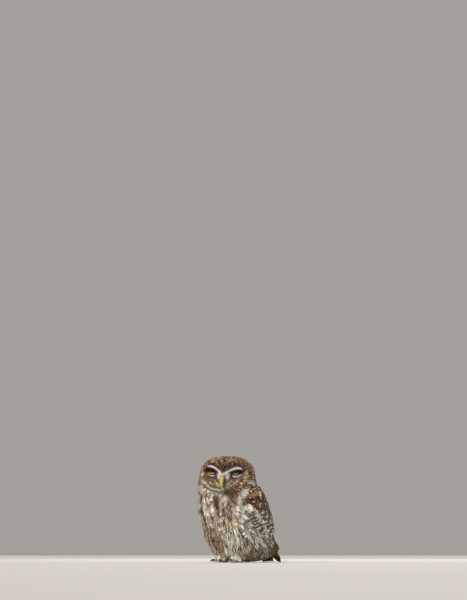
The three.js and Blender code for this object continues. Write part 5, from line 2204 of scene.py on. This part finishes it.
@dataclass
class Legs:
    """Legs and toes: their forms, their short feathers and their claws.

    TOES gives each toe's bearing in degrees, its length and its radius. FLUFF is how far the middle
    of the fluff is from the left foot's, and CLAW gives the claw's share, reach, lift and thickness.
    """

    form: OwlForm
    forward: float = 3.0
    ankle: float = 4.5
    claw_radius: float = 1.25

    TOES = {"inner": (-22, 15, 2.5), "middle": (8, 18, 2.6), "outer": (62, 14, 2.4), "hind": (172, 10, 2.4)}
    FLUFF = (0.5, -2.0, 1.5)
    CLAW = ((0, -1, -0.3, 1), (0.35, 2.4, 0.5, 1), (0.7, 5, -0.1, 0.72), (1, 7.0, -1.9, 0.12))

    def foot(self, side: int) -> Array:
        """The middle of a foot, at the ankle's height."""
        return np.array([side * self.form.foot_spacing / 2, self.forward, self.ankle])

    def on_toe(self, side: int, bearing: float, out: float, height: float) -> Array:
        """A point over the floor, out along a toe from the middle of its foot."""
        return self.foot(side) * (1, 1, 0) + aimed(side * math.radians(bearing), 0) * out + (0, 0, height)

    def limbs(self) -> list[Limb]:
        """Both legs, each followed by its toes, which end at the roots of their claws.

        Returns:
            The limbs.
        """
        found = []
        for side in (1, -1):
            top = np.array([side * (self.form.foot_spacing / 2 + 1), 9, 18])
            found.append(Limb(top, self.foot(side), (6.2, 4.6)))
            for (bearing, length, radius) in self.TOES.values():
                start = self.on_toe(side, bearing, 0, radius + 0.6)
                end = self.on_toe(side, bearing, length - radius * 0.6, radius - 0.3)
                found.append(Limb(start, end, (radius + 0.5, radius * 0.85)))
        return found

    def surface(self, points: Array) -> Array:
        """Distance to the legs and toes together."""
        return blended([limb.distance(points) for limb in self.limbs()], 0.8)

    def instep(self, points: Array) -> Array:
        """Distance to the rounded fluff over the roots of the toes."""
        folded = np.abs(points) * (1, 0, 0) + points * (0, 1, 1)
        return Lobe(self.foot(1) + self.FLUFF, (9.0, 10.0, 9.5)).distance(folded)

    def roots(self, limb: Limb, count: int, chance: Chance) -> tuple[Array, Array]:
        """Roots strewn round a limb, each a golden turn on from the one before.

        Args:
            limb: the limb.
            count: how many.
            chance: the seeded draw.

        Returns:
            The roots, and the way down and a little outwards at each.
        """
        line = unit(limb.end - limb.start)
        first = unit(np.cross(line, (0.3, 0.2, 1.0)))
        angle = (np.arange(count) * GOLDEN_TURN + chance.uniform(-0.4, 0.4, count))[:, None]
        share = (np.arange(count) + chance.uniform(0, 1, count)) / count * 1.02
        out = first * np.cos(angle) + np.cross(line, first) * np.sin(angle)
        share = share[:, None]
        return lerp(limb.start, limb.end, share) + out * lerp(*limb.radii, share), line + out * 0.25

    def build_feathers(self, material: Material, chance: Chance) -> None:
        """Lays short cream feathers down the legs, bristly ones along the toes, and the fluff.

        Args:
            material: the feathers' finish.
            chance: the seeded draw.
        """
        lots = []
        for (number, limb) in enumerate(self.limbs()):
            toe = number % 5 > 0
            (points, way) = self.roots(limb, 260 if toe else 420, chance)
            keep = points[:, 2] > (1.2 if toe else 3.0)
            (points, way) = (points[keep], way[keep])
            count = len(points)
            paint = Paint.plain(count, Tint.WHITE, Tint.CREAM, 0.16)
            paint.varied(chance)
            start = 0.02 + 0.05 * number
            patch = [start + 0.04 * chance.uniform(0, 1, count), chance.uniform(0.02, 0.06, count)]
            size = (3.4, 1.25, 0.7) if toe else (5.5, 2.0, 1.2)
            lots.append(Plumes.made(points, way, size, np.stack(patch, -1), paint))
        tuft = Vane(4, 3, tip=0.3, ragged=0.05)
        legs = Coat(chance, self.surface, proud=0.35).laid(Plumes.gathered(lots), tuft)
        fluff = Coat(chance, self.instep, proud=0.5, stray=18, floor=1.0).laid(self.spats(540, chance), tuft)
        placed(Shape.joined([legs, fluff]).mesh("plumage_feet", self.form), material, "plumage_leg")

    def spats(self, count: int, chance: Chance) -> Plumes:
        """Loose white feathers over the roots of the toes, that lie outwards and down.

        Args:
            count: how many on each foot.
            chance: the seeded draw.

        Returns:
            The feathers.
        """
        lots = []
        for side in (1, -1):
            (turn, lift) = (chance.uniform(-math.pi, math.pi, count), chance.uniform(-0.15, 1.3, count))
            out = aimed(turn + math.pi / 2, lift)
            points = met(self.instep, self.foot(side) + np.array(self.FLUFF) * (side, 1, 1), out)
            paint = Paint.plain(count, Tint.WHITE, Tint.CREAM, 0.16)
            paint.varied(chance)
            patch = np.stack([0.6 + 0.1 * side + 0.01 * turn, 0.03 + 0.01 * lift], -1)
            lots.append(Plumes.made(points, out * (1, 1, 0) - (0, 0.2, 0.8), (5.0, 1.2, 0.9), patch, paint))
        return Plumes.gathered(lots)

    def build_claws(self, material: Material) -> None:
        """Sweeps each claw along an arc that leaves the toe level and bends down to the floor.

        Args:
            material: the horn's finish.
        """
        (out, lift, thick) = reading(self.CLAW, np.linspace(0, 1, 18)).T
        thick = thick * self.claw_radius
        for (word, side) in SIDES.items():
            for (name, (bearing, length, radius)) in self.TOES.items():
                ray = aimed(side * math.radians(bearing), 0)
                root = self.on_toe(side, bearing, length - 1.8, radius + 0.6)
                line = root + ray * out[:, None] + np.array([0, 0, 1.0]) * lift[:, None]
                shape = swept(line, thick * 0.9, thick, np.cross(ray, (0, 0, 1.0)), 14)
                node = f"claw_{name}_{word}"
                placed(shape.mesh(f"horn_{node}", self.form), material, "claw", node, sharp=False)


@dataclass
class Eyes:
    """The two eyeballs with their lids. LIDS gives the angle of each lid's root and its margin's number."""

    form: OwlForm
    gaze_splay: float = 19.0
    gaze_rise: float = 12.0
    lid_thickness: float = 1.0

    LIDS = {"upper": (86, 0), "lower": (-86, 1)}

    def round_eye(self, side: int, out: Array, radius: float | Array) -> Array:
        """Points at a radius from the middle of an eye, by directions in the head's frame."""
        return out * np.asarray(radius)[..., None] @ self.form.head_frame.T + self.form.eye_centre(side)

    def ball(self, side: int) -> Shape:
        """An eyeball as rings about its line of sight, a little domed at the front.

        The radius is the eye's, times 1 plus a small bell of the angle from the line of sight.

        Args:
            side: 1 for the bird's left and -1 for its right.

        Returns:
            The closed surface, with the attribute gaze.
        """
        ahead = aimed(*np.radians((side * self.gaze_splay, self.gaze_rise)))
        first = unit(np.cross(ahead, (0, 0, 1.0)))
        turns = np.linspace(0, FULL_TURN, 72, endpoint=False)
        (angle, turn) = np.meshgrid(np.linspace(0.04, 3.1, 56), turns, indexing="ij")
        (c, s) = (np.cos(turn), np.sin(turn))
        (x, y, z) = (a[..., None] for a in (np.sin(angle) * c, np.sin(angle) * s, np.cos(angle)))
        out = x * first + y * np.cross(first, ahead) + z * ahead
        radius = self.form.eye_radius
        points = self.round_eye(side, out, radius * (1 + 0.012 * bump(angle, 0.6)))
        ends = [self.round_eye(side, ahead * way, radius) for way in (1.012, -1)]
        gaze = xyz(angle * c, angle * s, 0).reshape(-1, 3)
        return ring_shape(points, *ends, gaze=np.concatenate([[(0, 0, 0)], gaze, [(math.pi, 0, 0)]]))

    def lid(self, side: int, name: str) -> Shape:
        """A lid as a shell over the eye, thicker along its free margin.

        Across the lid an angle goes from one corner to the other, and along it the rise goes from the
        root to the margin. The outer face stands out by the thickness and a bell at the margin.

        Args:
            side: 1 for the bird's left and -1 for its right.
            name: upper or lower.

        Returns:
            The closed surface, with the attribute share.
        """
        (root, which) = self.LIDS[name]
        lines = (np.linspace(0, 1, 14), np.linspace(-1, 1, 40), (0, 1))
        (along, share, face) = np.meshgrid(*lines, indexing="ij")
        across = self.form.lid_span * share
        edge = self.form.lid_edges(side * across)[which]
        lift = np.radians(lerp(root * np.cos(np.radians(across) * 0.9), edge, along))
        out = aimed(np.radians(across + side * self.form.lid_splay), lift)
        openness = np.cos(np.clip(across / self.form.eye_opening[3], -1, 1) * math.pi / 2)
        bead = 0.15 * openness * bump(along - 0.97, 0.04)
        ends = (1 - np.abs(share) ** 8) * lerp(self.lid_thickness, 0.4, smooth(along, 0.7, 1.0))
        radius = self.form.eye_radius + lerp(self.form.gap, 0.12, along) + face * (ends + bead)
        return slab(self.round_eye(side, out, radius), xyz(along, openness, 0))

    def build(self, finishes: dict[int, Material], lids: dict[str, Material]) -> None:
        """Places the eyeballs and lids.

        Args:
            finishes: the eyeballs' finishes by side.
            lids: the lids' finishes by name.
        """
        form = self.form
        for (word, side) in SIDES.items():
            ball = self.ball(side).mesh(f"eyeball_{word}", form)
            placed(ball, finishes[side], "eye", f"eye_{word}", sharp=False)
            for name in self.LIDS:
                node = f"lid_{name}_{word}"
                placed(self.lid(side, name).mesh(f"soft_{node}", form), lids[name], "lid", node)


def slab(points: Array, share: Array) -> Shape:
    """A closed slab between two faces.

    Args:
        points: rows by columns by two faces by 3, the inner face first.
        share: three values for each point, kept as the attribute share.

    Returns:
        The surface: both faces, and a wall round their border, turned outwards by the sign of its
        volume.
    """
    (rows, columns) = points.shape[:2]
    ids = np.arange(rows * columns * 2).reshape(rows, columns, 2)
    border = np.concatenate([ids[0, :], ids[1:, -1], ids[-1, -2::-1], ids[-2:0:-1, 0]])
    after = np.roll(border, -1, axis=0)
    wall = np.stack([border[:, 0], after[:, 0], after[:, 1], border[:, 1]], -1)
    quads = np.concatenate([squares(ids[..., 1]), squares(ids[..., 0])[:, ::-1], wall])
    flat = points.reshape(-1, 3)
    corner = flat[quads]
    facing = np.cross(corner[:, 2] - corner[:, 0], corner[:, 3] - corner[:, 1])
    volume = ((corner.mean(1) - flat.mean(0)) * facing).sum()
    return Shape(flat, quads[:, ::-1] if volume < 0 else quads, NO_TRIANGLES, {"share": share.reshape(-1, 3)})


@dataclass
class Bill:
    """The hooked upper bill with its nostrils, and the lower bill under it.

    Each station is a share of the way, its y and z in the head's frame, and half its width and
    height.
    """

    form: OwlForm

    UPPER = ((0, -27, 6.0, 2.0, 2.6), (0.22, -33.2, 5.5, 2.5, 3.4), (0.42, -37.8, 3.1, 2.6, 3.3),
             (0.62, -41, -1.2, 2.2, 2.6), (0.81, -42.3, -5.4, 1.45, 1.8), (1, -41.7, -9.2, 0.4, 0.5))
    LOWER = ((0, -28, -2.4, 2.4, 1.4), (0.5, -34, -4.4, 1.9, 1.2),
             (0.78, -37, -6.2, 1.2, 0.9), (1, -38.6, -7.6, 0.4, 0.4))
    NOSTRIL = (3.2, -36.4, 5.6)

    def half(self, stations: tuple, rings: int, flat: float) -> Shape:
        """One half of the bill, swept along a smooth line through its stations."""
        (y, z, wide, high) = reading(stations, np.linspace(0, 1, rings)).T
        return swept(self.form.in_head(0, y, z), wide, high, self.form.head_frame[:, 0], 36, flat)

    def build(self, material: Material) -> None:
        """Places both halves, and sinks a nostril into each side of the upper one, which the horn's finish
        darkens with painted shade.

        Args:
            material: the horn's finish.
        """
        (upper, lower) = (self.half(self.UPPER, 60, 1.7), self.half(self.LOWER, 30, 2.0))
        away = np.abs(self.form.head_local(upper.points)) * (1, -1, 1) - self.NOSTRIL
        nostril_pit_and_shade = bump(np.linalg.norm(away, axis=-1), 0.85)
        inwards = unit(self.form.in_head(0, -34, 3) - upper.points)
        upper.points = upper.points + inwards * (0.7 * nostril_pit_and_shade)[:, None]
        # The nostril's bell, kept as the share's second number, paints shade in the pit.
        upper.values["share"][:, 1] = np.clip(nostril_pit_and_shade * 1.6 - 0.3, 0, 1)
        for (name, half) in (("upper", upper), ("lower", lower)):
            mesh = half.mesh(f"horn_bill_{name}", self.form)
            placed(mesh, material, "bill", f"bill_{name}", sharp=False)


@dataclass
class Studio:
    """A plain pale floor, soft lights, and a camera that stands where the photo was taken from."""

    form: OwlForm
    image: tuple[int, int] = (467, 600)
    feet_pixel: tuple[float, float] = (230.8, 562.6)
    scale: float = 1.35
    distance: float = 2.25
    azimuth: float = 38.7
    camera_height: float = 0.012
    floor_radius: float = 9.0
    keystone: float = 0.982
    lamp_aim: float = 0.07
    sensor: float = 36.0

    def stood(self, data: bpy.types.ID, place: Vector, look: Array) -> bpy.types.Object:
        """Stands a camera or lamp at a place, looking along a direction.

        Args:
            data: the camera or lamp, which has the object's name.
            place: where it stands, in metres.
            look: its direction.

        Returns:
            The object.
        """
        made = linked(data.name, data)
        (made.location, made.rotation_mode) = (place, "QUATERNION")
        made.rotation_quaternion = Vector(look).to_track_quat("-Z", "Y")
        return made

    def camera(self) -> None:
        """Sets the camera so that the middle of the feet falls on its pixel.

        The focal length in pixels is the distance over the scale in metres a pixel. The view is
        turned, not shifted, by the pixel's angles from the middle of the image.
        """
        focal = self.distance / (self.scale * METRES) * self.keystone
        turn = math.radians(self.azimuth)
        (dx, dy) = (self.feet_pixel[0] - self.image[0] / 2, self.feet_pixel[1] - self.image[1] / 2)
        lift = math.atan(dy / focal) - math.atan(self.camera_height / self.distance)
        feet = self.form.to_row(np.array([0, 3.0, 0]))
        place = feet + aimed(turn, 0) * self.distance + (0, 0, self.camera_height)
        data = bpy.data.cameras.new("camera")
        (data.sensor_width, data.lens) = (self.sensor, self.sensor * focal / max(self.image))
        data.clip_end = 100
        camera = self.stood(data, Vector(place), -aimed(turn + math.atan(dx / focal), -lift))
        bpy.context.scene.camera = camera

    def lamp(self, kind: str, name: str, bearing: tuple[float, float], away: float, tint: tuple,
             **settings: float | str) -> None:
        """Hangs a lamp that faces the owl.

        Args:
            kind: SUN or AREA.
            name: the lamp's name.
            bearing: azimuth and rise in degrees.
            away: the distance from the owl's middle, in metres, or 0 for a sun, which needs no place.
            tint: the light's colour.
            settings: its other settings.
        """
        data = bpy.data.lights.new(name, kind)
        for (key, value) in {"color": tint, **settings}.items():
            setattr(data, key, value)
        back = aimed(*np.radians(bearing))
        aim = np.array((0, 0, self.lamp_aim if away else 0))
        self.stood(data, Vector(back * away + aim), -back)

    def floor(self) -> None:
        """A wide flat disc, just under the feet."""
        angle = np.linspace(0, FULL_TURN, 96, endpoint=False)
        rim = xyz(np.cos(angle), np.sin(angle), 0) * self.floor_radius
        mesh = bpy.data.meshes.new("floor")
        mesh.from_pydata(rim.tolist(), [], [list(range(len(angle)))])
        finish = Finish("floor")
        colour = finish.mix(finish.noise(60) * 0.5, (0.70, 0.69, 0.67, 1), (0.66, 0.65, 0.63, 1))
        mesh.materials.append(finish.surface(colour, 0.8))
        linked("floor", mesh)

    def build(self) -> None:
        """Builds floor, sky, lights and camera."""
        self.floor()
        world = bpy.data.worlds.new("studio")
        world.use_nodes = True
        sky = world.node_tree.nodes["Background"].inputs
        sky["Color"].default_value = (0.87, 0.84, 0.79, 1)
        sky["Strength"].default_value = 0.42
        bpy.context.scene.world = world
        bpy.context.scene.view_settings.view_transform = "Standard"
        (fill, rim) = ((self.azimuth + 55, 20), (self.azimuth + 170, 40))
        self.lamp("SUN", "key", (-6, 38), 0, (1, 0.945, 0.855), energy=2.7, angle=math.radians(12))
        self.lamp("AREA", "fill", fill, 2.0, (1, 0.97, 0.93), shape="SQUARE", size=1.4, energy=4)
        self.lamp("AREA", "rim", rim, 1.8, (1, 0.98, 0.95), shape="SQUARE", size=0.8, energy=8)
        self.camera()


def keep_sizes() -> None:
    """Brings the view layer up to date."""
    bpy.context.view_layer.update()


def main() -> None:
    """Builds the owl from the skin out, and the studio round it."""
    logging.basicConfig(level=logging.INFO, format="%(message)s")
    form = OwlForm()
    markings = Markings(form)
    draws = [np.random.default_rng(seed) for seed in range(11, 17)]
    plumage = PlumageFinish().build()
    SkinPart(form, markings).build(SkinFinish().build())
    HeadCoat(form, markings, draws[0]).build(plumage)
    BodyCoat(form, markings, draws[1]).build(plumage)
    Wing(form, 1, draws[2]).build(plumage)
    Wing(form, -1, draws[3]).build(plumage)
    Tail(form, draws[4]).build(plumage)
    legs = Legs(form)
    legs.build_feathers(plumage, draws[5])
    legs.build_claws(HornFinish("claw_horn", Tint.CLAW, Tint.GREY_BROWN).build())
    # The bird's left iris is the same yellow iris painted darker and greener as painted shade.
    irises = {1: EyeFinish("iris_left", Tint.CITRON).build(), -1: EyeFinish("iris_right", Tint.AMBER).build()}
    # The upper lid's near-black is partly its own dark colour and partly painted shade under the brow.
    lids = {"upper": LidFinish("lid_dark", Tint.SOOT), "lower": LidFinish("lid_pale", Tint.LILAC, 0.955, 0.6)}
    Eyes(form).build(irises, {name: finish.build() for (name, finish) in lids.items()})
    Bill(form).build(HornFinish("bill_horn", Tint.BILL, Tint.BILL_BASE).build())
    Studio(form).build()
    keep_sizes()


if __name__ == "__main__":
    main()
